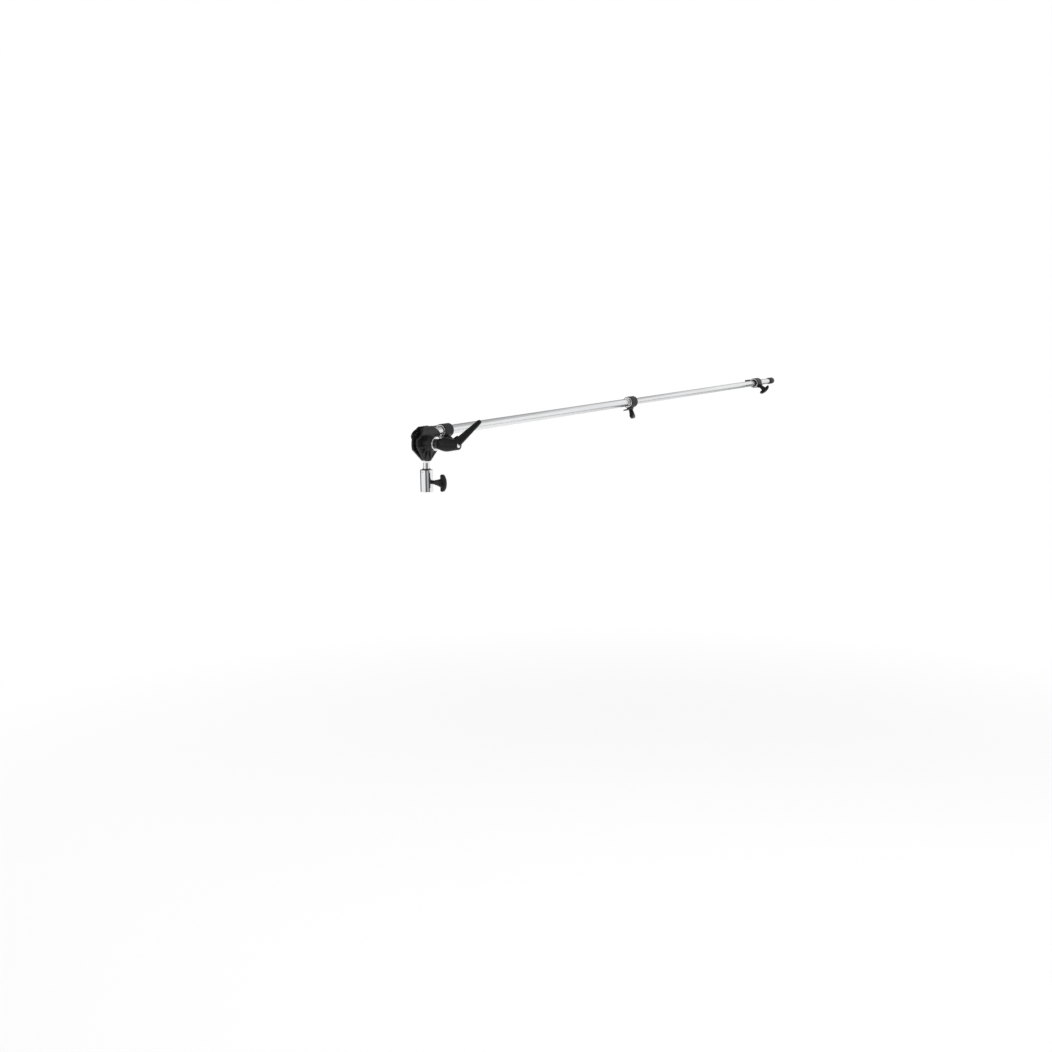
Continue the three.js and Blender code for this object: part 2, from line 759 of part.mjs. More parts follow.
function clipShell({ screwAngle, inward }) {
  const boreRadius = bushRadius + fit.pressed;
  const shell = collarShell(boreRadius, screwAngle, -inward * collar.screwFromMiddle);
  const { gap, lip, wall, height, reach, corner, bead } = hook;
  const half = collar.length / 2;
  const seat = collarRadius + fit.running;
  const inner = seat + gap;
  const outer = inner + lip;
  const outline = new THREE.Shape();
  outline.moveTo(-half, 0);
  outline.lineTo(-half, outer - corner);
  outline.quadraticCurveTo(-half, outer, -half + corner, outer);
  outline.lineTo(-half + reach - lip / 2, outer);
  outline.quadraticCurveTo(-half + reach, outer, -half + reach, inner + lip / 2);
  outline.lineTo(-half + reach, inner - bead);
  outline.lineTo(-half + reach - 2 * bead, inner - bead);
  outline.lineTo(-half + reach - 3 * bead, inner);
  outline.lineTo(-half + wall + corner, inner);
  outline.quadraticCurveTo(-half + wall, inner, -half + wall, inner - corner);
  outline.lineTo(-half + wall, 0);
  const arch = slab(outline, -height / 2, height / 2, cornerSegments);
  if (inward < 0) arch.rotateY(Math.PI);
  const bore = rod(boreRadius, -half - overrun, half + overrun);
  return carve(join(shell, arch), alongX(bore), ringSeat());
}

function clipBush(boreRadius, { screwAngle, inward }) {
  const half = collar.length / 2;
  const bush = alongX(pipe(boreRadius, bushRadius, -half, half));
  const hole = rod(smallScrew.radius + fit.thread, 0, collarRadius, smallSides);
  pointedDown(hole.translate(-inward * collar.screwFromMiddle, 0, 0), screwAngle);
  return carve(bush, hole);
}

// The bright ring on a collar's near face, and the cutter of its seat
function collarRing(sleeveRadius) {
  const face = -collar.length / 2 - chromeRing.proud;
  const inner = sleeveRadius + chromeRing.innerGap;
  return alongX(pipe(inner, ringOuter, face, face + chromeRing.thickness - fit.seat));
}

function ringSeat() {
  const face = -collar.length / 2;
  const depth = chromeRing.thickness - chromeRing.proud;
  return alongX(rod(ringOuter + fit.seat, face - overrun, face + depth));
}

function clipPad({ inward }) {
  const half = collar.length / 2;
  const from = -half + hook.wall + hook.corner;
  const to = -half + hook.reach - 4 * hook.bead;
  const middle = collarRadius + hook.gap - hook.padThickness / 2;
  const pad = block(to - from, hook.padThickness, hook.height - 2 * hook.padInset);
  return pad.translate((inward * (from + to)) / 2, middle, 0);
}

function lockShell() {
  const { screwAngle, pastTube } = lockCollar;
  const half = collar.length / 2;
  const shell = collarShell(innerRadius + fit.running, screwAngle, -collar.screwFromMiddle);
  const seatEnd = half - pastTube + fit.end;
  const seat = alongX(rod(arm.outerRadius + fit.pressed, -half - overrun, seatEnd));
  return carve(shell, seat, ringSeat());
}

function lockTabBody() {
  const { width, thickness, reach, tail, slotWidth, slotLength } = lockTab;
  const round = width / 2;
  const shape = new THREE.Shape();
  shape.moveTo(-reach + round, -round);
  shape.lineTo(tail - round / 2, -round);
  shape.quadraticCurveTo(tail, -round, tail, -round / 2);
  shape.lineTo(tail, round / 2);
  shape.quadraticCurveTo(tail, round, tail - round / 2, round);
  shape.lineTo(-reach + round, round);
  shape.absarc(-reach + round, 0, round, Math.PI / 2, -Math.PI / 2, false);
  const base = collarRadius + collar.bossHeight + fit.seat;
  const top = base + thickness;
  const plate = slab(shape, base, top);
  const hole = rod(smallScrew.radius + fit.seat, base - overrun, top + overrun, smallSides);
  const slot = block(slotLength, slotWidth, 3 * thickness, -reach + slotLength, 0, base);
  return carve(plate, hole, slot);
}

const model = new THREE.Group();

// Stand side
addMesh(model, 'receiver_socket', socketBody(), finishes.chrome);
const ringFoot = socket.length + fit.seat;
const ringTop = ringFoot + stem.ringThickness;
const socketRing = pipe(stem.radius + fit.running, stem.radius + stem.ringWall, ringFoot, ringTop);
addMesh(model, 'socket_ring', socketRing, finishes.nylon);
addMesh(model, 'stem', stemBody(), finishes.chrome);
const pin = alongX(rod(socket.pinRadius, -socketRadius, socketRadius, smallSides));
addMesh(model, 'stem_pin', pin.translate(0, 0, pinHeight), finishes.steel);

const socketScrew = new THREE.Group();
socketScrew.position.z = socket.screwHeight;
socketScrew.rotation.x = quarterTurn;
model.add(socketScrew);
const socketTip = socket.boreRadius + fit.seat;
const socketShankEnd = largeScrew.start + largeScrew.grip - fit.seat;
const socketShank = screwShank(largeScrew, socketTip, socketShankEnd);
addMesh(socketScrew, 'socket_screw', socketShank, finishes.darkSteel);
const socketGrip = screwGrip(largeScrew, largeScrew.start).rotateZ(quarterTurn);
addMesh(socketScrew, 'socket_knob', socketGrip, finishes.black);

// Head
const head = new THREE.Group();
head.position.z = axleHeight;
model.add(head);
const front = new THREE.Group();
front.rotation.x = quarterTurn;
head.add(front);
const rear = new THREE.Group();
rear.rotation.set(quarterTurn, Math.PI, 0);
head.add(rear);

addMesh(rear, 'rear_jaw', rearJawBody(), finishes.casting);
addMesh(front, 'front_jaw', frontJawBody(), finishes.casting);
addMesh(front, 'head_axle', axleBody(), finishes.steel);
const washerMiddle = (jaw.halfGap + stem.flatThickness / 2) / 2;
const washerFoot = washerMiddle - frictionWasher.thickness / 2;
const washerTop = washerMiddle + frictionWasher.thickness / 2;
const washer = pipe(axle.radius + fit.running, eyeRadius, washerFoot, washerTop);
addMesh(front, 'front_friction_washer', washer.clone(), finishes.nylon);
addMesh(rear, 'rear_friction_washer', washer.clone(), finishes.nylon);
const jawSpringTop = jaw.halfGap + jawSpring.pocketDepth - fit.seat;
const jawSpringRadius = jawSpring.pocketRadius - jawSpring.wireRadius - jawSpring.clearance;
const jawCoil = coilSpring(
  jawSpringRadius, jawSpring.wireRadius, jaw.halfGap, jawSpringTop, jawSpring.turns,
);
addMesh(front, 'jaw_spring', jawCoil, finishes.steel);
const thrust = turned([
  [axle.radius + fit.running, frontBossTop + fit.seat],
  [thrustWasher.radius - thrustWasher.chamfer, frontBossTop + fit.seat],
  [thrustWasher.radius, frontBossTop + fit.seat + thrustWasher.chamfer],
  [thrustWasher.radius, leverBase - fit.seat - thrustWasher.chamfer],
  [thrustWasher.radius - thrustWasher.chamfer, leverBase - fit.seat],
  [axle.radius + fit.running, leverBase - fit.seat],
  [axle.radius + fit.running, frontBossTop + fit.seat],
]);
addMesh(front, 'thrust_washer', thrust, finishes.chrome);

const leverGroup = new THREE.Group();
leverGroup.position.z = leverBase;
front.add(leverGroup);
addMesh(leverGroup, 'lever_insert', leverInsert(), finishes.darkSteel);
addMesh(leverGroup, 'lever_handle', leverHandle(), finishes.black);
addMesh(leverGroup, 'lever_spring', leverSpring(), finishes.steel);
addMesh(leverGroup, 'lever_screw', leverScrew(), finishes.chrome);

// Arm
const armGroup = new THREE.Group();
armGroup.position.z = armHeight;
model.add(armGroup);
addMesh(armGroup, 'arm_end_plug', endPlugBody(), finishes.black);
addMesh(armGroup, 'outer_tube', outerTube(), finishes.tube);
addMesh(armGroup, 'inner_guide_bush', guideBushBody(), finishes.nylon);
const innerTube = alongX(pipe(innerBore, innerRadius, innerStart, innerEnd));
addMesh(armGroup, 'inner_tube', innerTube, finishes.tube);
addMesh(armGroup, 'arm_end_cap', endCapBody(), finishes.black);

// The screw and grip of a collar, pointing down and turned towards the front
function collarScrew(parent, prefix, offset, { screwAngle, gripTurn }, tip, gripStart) {
  const group = new THREE.Group();
  group.position.x = offset;
  group.rotation.x = Math.PI - THREE.MathUtils.degToRad(screwAngle);
  parent.add(group);
  const end = gripStart + smallScrew.grip - fit.seat;
  addMesh(group, `${prefix}_screw`, screwShank(smallScrew, tip, end), finishes.steel);
  const grip = screwGrip(smallScrew, gripStart).rotateZ(THREE.MathUtils.degToRad(gripTurn));
  addMesh(group, `${prefix}_knob`, grip, finishes.black);
  return group;
}

const lockGroup = new THREE.Group();
lockGroup.position.x = lockStart + collar.length / 2;
armGroup.add(lockGroup);
addMesh(lockGroup, 'lock_collar', lockShell(), finishes.black);
addMesh(lockGroup, 'lock_ring', collarRing(arm.outerRadius), finishes.chrome);
const shoeFoot = innerRadius + fit.seat;
const shoeTop = shoeFoot + lockShoe.thickness;
const lockGripStart = collarRadius + collar.bossHeight + lockTab.thickness + 2 * fit.seat;
const lockScrew = collarScrew(
  lockGroup, 'lock', -collar.screwFromMiddle, lockCollar, shoeTop + fit.seat, lockGripStart,
);
const shoe = rod(smallScrew.radius - lockShoe.screwInset, shoeFoot, shoeTop, smallSides);
addMesh(lockScrew, 'lock_shoe', shoe, finishes.nylon);
addMesh(lockScrew, 'lock_tab', lockTabBody(), finishes.casting);

const clips = [
  { prefix: 'near_clip', place: nearClip, start: nearStart, tubeRadius: arm.outerRadius },
  { prefix: 'far_clip', place: farClip, start: farStart, tubeRadius: innerRadius },
];
for (const { prefix, place, start, tubeRadius } of clips) {
  const group = new THREE.Group();
  group.position.x = start + collar.length / 2;
  armGroup.add(group);
  addMesh(group, `${prefix}_body`, clipShell(place), finishes.black);
  addMesh(group, `${prefix}_bush`, clipBush(tubeRadius + fit.running, place), finishes.nylon);
  addMesh(group, `${prefix}_ring`, collarRing(bushRadius), finishes.chrome);
  addMesh(group, `${prefix}_pad`, clipPad(place), finishes.rubber);
  const offset = -place.inward * collar.screwFromMiddle;
  const gripStart = collarRadius + collar.bossHeight + fit.seat;
  collarScrew(group, prefix, offset, place, tubeRadius + fit.seat, gripStart);
}

export default model;
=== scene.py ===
"""Looks of a reflector holder arm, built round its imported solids.

Every piece is drawn in millimetres in its own axes, at a finer step than the solids, and is then
laid into the row frame in metres. +Z is up along the socket, +X runs along the arm and -Y faces
the lever.
"""

import json
import logging
import math
from dataclasses import dataclass
from enum import Enum
from typing import Iterable, Sequence

import bmesh
import bpy
from mathutils import Matrix, Vector

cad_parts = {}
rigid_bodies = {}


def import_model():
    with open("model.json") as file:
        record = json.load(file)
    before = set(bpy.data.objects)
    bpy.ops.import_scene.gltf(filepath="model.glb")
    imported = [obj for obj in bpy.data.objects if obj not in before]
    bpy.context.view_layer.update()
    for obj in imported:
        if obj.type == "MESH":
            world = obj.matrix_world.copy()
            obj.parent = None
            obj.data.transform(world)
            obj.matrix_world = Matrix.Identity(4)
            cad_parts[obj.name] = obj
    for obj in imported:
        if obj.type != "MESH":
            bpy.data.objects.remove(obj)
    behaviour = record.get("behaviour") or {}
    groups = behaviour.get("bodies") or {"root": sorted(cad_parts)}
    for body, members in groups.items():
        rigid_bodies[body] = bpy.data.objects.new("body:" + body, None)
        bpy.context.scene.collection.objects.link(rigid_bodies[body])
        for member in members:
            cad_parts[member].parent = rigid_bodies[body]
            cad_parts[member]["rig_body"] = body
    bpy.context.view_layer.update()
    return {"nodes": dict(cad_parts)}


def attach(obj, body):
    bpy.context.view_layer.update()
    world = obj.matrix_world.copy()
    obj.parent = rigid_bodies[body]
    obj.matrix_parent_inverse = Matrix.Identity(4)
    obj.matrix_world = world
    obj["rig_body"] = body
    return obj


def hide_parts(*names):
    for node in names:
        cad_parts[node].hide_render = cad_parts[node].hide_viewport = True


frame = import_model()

LOG = logging.getLogger("reflector_holder_arm")

MM = 0.001
QUARTER = math.pi / 2
TURN = 2 * math.pi

# Steps round a circle, from large pieces down to small holes
FINE_SIDES, SIDES, BORE_SIDES, SCREW_SIDES, PIN_SIDES = 128, 96, 64, 48, 32

# How far a shape runs past a face that it cuts or joins, in millimetres
OVERRUN = 1

# Least bend of an edge that stays sharp on a cast skin, in degrees
CAST_CREASE = 40

Corner = tuple[float, ...]


class Axis(Enum):
    """An axis of the row frame."""

    X = "X"
    Y = "Y"
    Z = "Z"


class Cut(Enum):
    """How one shape changes another."""

    ADD = "UNION"
    REMOVE = "DIFFERENCE"
    KEEP_COMMON = "INTERSECT"


# Drawing tools: profiles, outlines and closed shapes


def rounded(corners: Sequence[Corner], closed: bool = False, steps: int = 5) -> list[Vector]:
    """Rounds the corners of a line that carry a third number, their radius.

    Args:
        corners: Points as (x, y) or (x, y, radius).
        closed: True where the last point joins the first.
        steps: Pieces of each rounded corner.

    Returns:
        The points of the rounded line.
    """
    points: list[Vector] = []
    count = len(corners)
    for index, corner in enumerate(corners):
        here = Vector(corner[:2])
        inside = closed or 0 < index < count - 1
        if len(corner) < 3 or not inside:
            points.append(here)
            continue
        before = Vector(corners[index - 1][:2]) - here
        after = Vector(corners[(index + 1) % count][:2]) - here
        half = before.angle(after) / 2
        reach = min(corner[2] / math.tan(half), before.length * 0.49, after.length * 0.49)
        radius = reach * math.tan(half)
        before.normalize()
        after.normalize()
        centre = here + (before + after).normalized() * (radius / math.sin(half))
        first = here + before * reach - centre
        last = here + after * reach - centre
        sweep = first.angle_signed(last)
        for step in range(steps + 1):
            turned_by = Matrix.Rotation(-sweep * step / steps, 2)
            points.append(centre + turned_by @ first)
    return points


def arc(radius: float, start: float, end: float, steps: int) -> list[Vector]:
    """Points of an arc round the origin, from one angle to another in radians."""
    angles = (start + (end - start) * step / steps for step in range(steps + 1))
    return [Vector((radius * math.cos(angle), radius * math.sin(angle))) for angle in angles]


def bowed(start: Corner, pull: Corner, end: Corner, steps: int = 8) -> list[Vector]:
    """Points of a curve from start to end that bends towards pull, without its first point."""
    first, middle, last = Vector(start), Vector(pull), Vector(end)
    curve = []
    for step in range(1, steps + 1):
        share = step / steps
        curve.append(
            first * (1 - share) ** 2 + middle * (2 * share * (1 - share)) + last * share**2
        )
    return curve


def linked(name: str, data: bpy.types.ID) -> bpy.types.Object:
    """Makes an object of some data in the scene."""
    made = bpy.data.objects.new(name, data)
    bpy.context.scene.collection.objects.link(made)
    return made


class Shape:
    """A closed mesh in millimetres that is worked on step by step."""

    def __init__(self, vertices: Iterable[Sequence[float]], faces: Iterable[Sequence[int]]) -> None:
        """Makes the mesh with its faces turned outwards.

        Args:
            vertices: The corners.
            faces: Corner numbers of each face.
        """
        mesh = bpy.data.meshes.new("shape")
        mesh.from_pydata([tuple(vertex) for vertex in vertices], [], list(faces))
        work = bmesh.new()
        work.from_mesh(mesh)
        bmesh.ops.remove_doubles(work, verts=work.verts, dist=1e-5)
        bmesh.ops.recalc_face_normals(work, faces=work.faces)
        work.to_mesh(mesh)
        work.free()
        self.body = linked("shape", mesh)

    def moved(self, matrix: Matrix) -> "Shape":
        """Moves the shape by a matrix."""
        self.body.data.transform(matrix)
        return self

    def lifted(self, x: float = 0, y: float = 0, z: float = 0) -> "Shape":
        """Moves the shape by a distance."""
        return self.moved(Matrix.Translation((x, y, z)))

    def spun(self, angle: float, axis: Axis) -> "Shape":
        """Turns the shape about an axis through the origin, in radians."""
        return self.moved(Matrix.Rotation(angle, 4, axis.value))

    def worked(self, kind: str, **settings: object) -> "Shape":
        """Applies one of Blender's modifiers to the mesh.

        Args:
            kind: The modifier's type.
            settings: Its settings by name.

        Returns:
            The same shape.
        """
        modifier = self.body.modifiers.new("work", kind)
        for name, value in settings.items():
            setattr(modifier, name, value)
        graph = bpy.context.evaluated_depsgraph_get()
        made = bpy.data.meshes.new_from_object(self.body.evaluated_get(graph))
        self.body.modifiers.clear()
        used = self.body.data
        self.body.data = made
        bpy.data.meshes.remove(used)
        return self

    def combined(self, cut: Cut, others: Iterable["Shape"]) -> "Shape":
        """Adds, removes or intersects other shapes, which are used up."""
        for other in others:
            self.worked("BOOLEAN", operation=cut.value, solver="MANIFOLD", object=other.body)
            spent = other.body.data
            bpy.data.objects.remove(other.body)
            bpy.data.meshes.remove(spent)
        return self

    def joined(self, *others: "Shape") -> "Shape":
        """Adds other shapes."""
        return self.combined(Cut.ADD, others)

    def carved(self, *others: "Shape") -> "Shape":
        """Removes other shapes."""
        return self.combined(Cut.REMOVE, others)

    def kept_in(self, *others: "Shape") -> "Shape":
        """Keeps what the other shapes hold too."""
        return self.combined(Cut.KEEP_COMMON, others)

    def eased(self, width: float, segments: int = 3, angle: float = 35) -> "Shape":
        """Rounds the sharp edges.

        Args:
            width: How far from the edge the rounding starts.
            segments: Pieces across the rounding.
            angle: Least bend of an edge that counts as sharp, in degrees.

        Returns:
            The same shape.
        """
        return self.worked(
            "BEVEL", width=width, segments=segments, limit_method="ANGLE",
            angle_limit=math.radians(angle), harden_normals=False,
        )

    def cast(self, cell: float, passes: int) -> "Shape":
        """Melts joined forms into one skin with soft inner corners, as a mould gives them.

        Args:
            cell: Size of the skin's mesh.
            passes: Rounds of smoothing.

        Returns:
            The same shape.
        """
        self.worked("REMESH", mode="VOXEL", voxel_size=cell, adaptivity=0)
        return self.worked("SMOOTH", factor=0.5, iterations=passes)


def turned(
    corners: Sequence[Corner], sides: int = SIDES, closed: bool = False, steps: int = 5
) -> Shape:
    """Turns a profile round Z.

    Args:
        corners: Its points as (radius, height) or (radius, height, rounding), which start and end
            on the axis unless closed.
        sides: Steps round the axis.
        closed: True where the last point joins the first.
        steps: Pieces of each rounded corner.

    Returns:
        The turned shape.
    """
    vertices: list[tuple[float, float, float]] = []
    rings: list[list[int]] = []
    for radius, height in rounded(corners, closed, steps):
        start = len(vertices)
        if radius < 1e-6:
            vertices.append((0.0, 0.0, height))
            rings.append([start] * sides)
            continue
        for side in range(sides):
            angle = side / sides * TURN
            vertices.append((radius * math.cos(angle), radius * math.sin(angle), height))
        rings.append(list(range(start, start + sides)))
    faces = []
    pairs = list(zip(rings, rings[1:]))
    if closed:
        pairs.append((rings[-1], rings[0]))
    for low, high in pairs:
        for side in range(sides):
            after = (side + 1) % sides
            face = list(dict.fromkeys((low[side], low[after], high[after], high[side])))
            if len(face) > 2:
                faces.append(face)
    return Shape(vertices, faces)


def rod(radius: float, low: float, high: float, ease: float = 0, sides: int = SIDES) -> Shape:
    """A round bar along Z, with its edges rounded by ease."""
    edge = (ease,) if ease else ()
    return turned([(0, low), (radius, low, *edge), (radius, high, *edge), (0, high)], sides)


def pipe(
    inner: float, outer: float, low: float, high: float, ease: float = 0, sides: int = SIDES
) -> Shape:
    """A tube along Z, with its edges rounded by ease."""
    edge = (ease,) if ease else ()
    places = ((inner, low), (outer, low), (outer, high), (inner, high))
    return turned([(*place, *edge) for place in places], sides, closed=True, steps=3)


def plate(outline: Sequence[Vector], low: float, high: float) -> Shape:
    """A flat outline in XY drawn out along Z."""
    count = len(outline)
    vertices = [(x, y, z) for z in (low, high) for x, y in outline]
    faces: list[list[int]] = [list(range(count))[::-1], list(range(count, 2 * count))]
    for index in range(count):
        after = (index + 1) % count
        faces.append([index, after, after + count, index + count])
    return Shape(vertices, faces)


def block(width: float, depth: float, height: float, centre: Corner = (0, 0, 0)) -> Shape:
    """A box round its centre."""
    x, y = width / 2, depth / 2
    outline = [Vector((-x, -y)), Vector((x, -y)), Vector((x, y)), Vector((-x, y))]
    return plate(outline, -height / 2, height / 2).lifted(*centre)


def skinned(rings: Sequence[Sequence[Vector]]) -> Shape:
    """Joins rings of points one to the next and closes both ends."""
    count = len(rings[0])
    vertices = [point for ring in rings for point in ring]
    faces: list[list[int]] = []
    for row in range(len(rings) - 1):
        for index in range(count):
            after = (index + 1) % count
            low, high = row * count, (row + 1) * count
            faces.append([low + index, low + after, high + after, high + index])
    last = (len(rings) - 1) * count
    faces.append(list(range(count))[::-1])
    faces.append(list(range(last, last + count)))
    return Shape(vertices, faces)


def coil(radius: float, wire: float, low: float, high: float, turns: float) -> Shape:
    """A wire spring round Z.

    Args:
        radius: From the axis to the wire's middle.
        wire: The wire's radius.
        low: Foot of the spring.
        high: Top of the spring.
        turns: Turns of the wire.

    Returns:
        The spring.
    """
    steps = round(turns * 28)
    rings = []
    for step in range(steps + 1):
        share = step / steps
        angle = TURN * turns * share
        out = Vector((math.cos(angle), math.sin(angle), 0))
        centre = out * radius + Vector((0, 0, low + wire + (high - low - 2 * wire) * share))
        ring = []
        for side in range(12):
            around = side / 12 * TURN
            rise = Vector((0, 0, wire * math.sin(around)))
            ring.append(centre + out * (wire * math.cos(around)) + rise)
        rings.append(ring)
    return skinned(rings)


def threaded(radius: float, pitch: float, low: float, high: float) -> Shape:
    """A right-hand thread round Z with tapered ends.

    Args:
        radius: Outer radius of the thread.
        pitch: Height of one turn.
        low: Foot of the rod.
        high: Top of the rod.

    Returns:
        The threaded rod.
    """
    sides = 48
    depth = pitch * 0.58
    rows = round((high - low) / pitch * 8)
    rings = []
    for row in range(rows + 1):
        height = low + (high - low) * row / rows
        taper = min(height - low, high - height) / pitch
        ring = []
        for side in range(sides):
            phase = (height / pitch - side / sides) % 1
            root = min(1.0, max(0.0, (abs(phase - 0.5) * 2 - 0.15) / 0.7))
            sunk = depth * max(root, 1 - taper)
            angle = side / sides * TURN
            reach = radius - min(sunk, depth)
            ring.append(Vector((reach * math.cos(angle), reach * math.sin(angle), height)))
        rings.append(ring)
    return skinned(rings)


# Finishes


Output = bpy.types.NodeSocket
Inputs = dict[str | int, object]


class Nodes:
    """Builds the shader nodes of a material or a world."""

    def __init__(self, owner: bpy.types.ID) -> None:
        """Opens the owner's node tree."""
        owner.use_nodes = True
        self.tree = owner.node_tree

    def link(self, source: Output, target: bpy.types.NodeSocket) -> None:
        """Joins an output to an input."""
        self.tree.links.new(source, target)

    def feed(self, node: bpy.types.Node, inputs: Inputs) -> None:
        """Sets inputs of a node, or joins them to outputs.

        Args:
            node: The node.
            inputs: The value or output for each input; colours without their alpha.
        """
        for key, value in inputs.items():
            socket = node.inputs[key]
            if isinstance(value, bpy.types.NodeSocket):
                self.link(value, socket)
            else:
                socket.default_value = (*value, 1) if socket.type == "RGBA" else value

    def node(self, kind: str, inputs: Inputs | None = None, **settings: object) -> bpy.types.Node:
        """Adds a node.

        Args:
            kind: Its type, without the leading ShaderNode.
            inputs: The value or output for each input.
            settings: Its other settings by name.

        Returns:
            The node.
        """
        made = self.tree.nodes.new(f"ShaderNode{kind}")
        for name, value in settings.items():
            setattr(made, name, value)
        self.feed(made, inputs or {})
        return made

    def product(self, first: Output, second: Output) -> Output:
        """The product of two values."""
        return self.node("Math", {0: first, 1: second}, operation="MULTIPLY").outputs["Value"]

    def mixed(self, share: Output, first: Output, second: Output) -> Output:
        """A shader that goes from first to second as share goes from 0 to 1."""
        return self.node("MixShader", {"Fac": share, 1: first, 2: second}).outputs[0]

    def ramp(self, source: Output, stops: Sequence[tuple[float, float]]) -> Output:
        """Maps a value to greys.

        Args:
            source: The value from 0 to 1.
            stops: Place and grey of each stop, of which the first is at 0 and the last at 1.

        Returns:
            The grey.
        """
        node = self.node("ValToRGB", {"Fac": source})
        elements = node.color_ramp.elements
        colors = [(grey, grey, grey, 1) for _, grey in stops]
        elements[0].color, elements[1].color = colors[0], colors[-1]
        for (place, _), color in list(zip(stops, colors))[1:-1]:
            elements.new(place).color = color
        return node.outputs["Color"]


class Bench(Nodes):
    """Builds the nodes of one material."""

    def __init__(self, name: str, **values: object) -> None:
        """Starts a material.

        Args:
            name: Name of the material.
            values: Inputs of its surface shader, as in set.
        """
        self.material = bpy.data.materials.new(name)
        super().__init__(self.material)
        self.surface = self.tree.nodes["Principled BSDF"]
        self.places = self.node("TexCoord").outputs["Object"]
        self.set(**values)

    def set(self, **values: object) -> None:
        """Sets or joins inputs of the surface shader, with _ for the spaces in their names."""
        self.feed(self.surface, {name.replace("_", " "): value for name, value in values.items()})

    def noise(
        self, scale: float, detail: float = 4, roughness: float = 0.5,
        stretch: Corner = (1, 1, 1),
    ) -> Output:
        """Cloudy noise from 0 to 1.

        Args:
            scale: Clouds per metre.
            detail: Layers of finer noise.
            roughness: Strength of the finer layers.
            stretch: Scale along each axis.

        Returns:
            The noise's output.
        """
        places = self.places
        if stretch != (1, 1, 1):
            places = self.node("Mapping", {"Scale": stretch, "Vector": places}).outputs["Vector"]
        inputs = {"Scale": scale, "Detail": detail, "Roughness": roughness, "Vector": places}
        return self.node("TexNoise", inputs).outputs["Fac"]

    def spread(
        self, source: Output, low: float, high: float, start: float = 0.3, end: float = 0.7
    ) -> Output:
        """Maps a value from start and end to low and high, and holds it between them."""
        inputs = {
            "From Min": start, "From Max": end, "To Min": low, "To Max": high, "Value": source,
        }
        return self.node("MapRange", inputs).outputs["Result"]

    def blended(self, share: Output, first: Corner | Output, second: Corner) -> Output:
        """A colour that goes from first to second as share goes from 0 to 1."""
        return self.node("Mix", {0: share, 6: first, 7: second}, data_type="RGBA").outputs[2]

    def worn_edges(self, start: float = 0.53, end: float = 0.58) -> Output:
        """A share that rises from 0 to 1 on sharp outer edges, broken up by noise."""
        edge = self.spread(self.node("NewGeometry").outputs["Pointiness"], 0, 1, start, end)
        return self.product(edge, self.spread(self.noise(260, 6, 0.65), 0, 1, 0.5, 0.62))

    def bumped(self, source: Output, height: float, strength: float) -> None:
        """Raises the surface by a value.

        Args:
            source: The value from 0 to 1.
            height: Relief at 1, in metres.
            strength: Share of the relief that shows.
        """
        node = self.node("Bump", {"Distance": height, "Strength": strength, "Height": source})
        earlier = self.surface.inputs["Normal"]
        if earlier.is_linked:
            self.link(earlier.links[0].from_socket, node.inputs["Normal"])
        self.link(node.outputs["Normal"], earlier)


@dataclass(frozen=True)
class Finish:
    """A surface finish that builds its material once."""

    name: str
    color: Corner
    roughness: float

    def material(self) -> bpy.types.Material:
        """The material of this finish."""
        return bpy.data.materials.get(self.name) or self.made()

    def made(self) -> bpy.types.Material:
        """Builds the material."""
        raise NotImplementedError

    def toned(self, share: float, more: float = 0) -> Corner:
        """The colour times a share, with a little more grey."""
        return tuple(value * share + more for value in self.color)

    def hazed(self, bench: Bench, clouds: Output, low: float, high: float) -> None:
        """Varies the roughness with clouds, between two shares of it."""
        bench.set(Roughness=bench.spread(clouds, self.roughness * low, self.roughness * high))

    def mottled(self, bench: Bench, clouds: Output, other: Corner) -> Output:
        """The colour, with clouds of another one."""
        return bench.blended(bench.spread(clouds, 0, 1), self.color, other)


@dataclass(frozen=True)
class BrightPlating(Finish):
    """Chrome plating with faint clouds and hairlines from handling."""

    def made(self) -> bpy.types.Material:
        """Builds the material."""
        bench = Bench(self.name, Metallic=1.0)
        self.hazed(bench, bench.noise(45, 5, 0.6), 0.7, 1.6)
        bench.set(Base_Color=self.mottled(bench, bench.noise(120, 6, 0.6), self.toned(0.93)))
        bench.bumped(bench.noise(2200, 2, 0.5, (1, 1, 0.06)), 2e-6, 0.35)
        return bench.material


@dataclass(frozen=True)
class DrawnTube(Finish):
    """Bright drawn tube, polished round and wiped along its length."""

    def made(self) -> bpy.types.Material:
        """Builds the material."""
        bench = Bench(self.name, Metallic=1.0)
        lines = bench.noise(1500, 3, 0.6, (0.012, 1, 1))
        self.hazed(bench, lines, 0.75, 1.35)
        clouds = bench.noise(14, 5, 0.6, (0.35, 1, 1))
        bench.set(Base_Color=self.mottled(bench, clouds, self.toned(0.9)))
        bench.bumped(lines, 4e-6, 0.5)
        return bench.material


@dataclass(frozen=True)
class TurnedSteel(Finish):
    """Plated steel with the fine marks of turning."""

    def made(self) -> bpy.types.Material:
        """Builds the material."""
        bench = Bench(self.name, Metallic=1.0)
        grain = bench.noise(900, 4, 0.6)
        self.hazed(bench, grain, 0.75, 1.3)
        bench.set(Base_Color=self.mottled(bench, bench.noise(160, 5, 0.6), self.toned(0.78)))
        bench.bumped(grain, 1e-5, 0.4)
        return bench.material


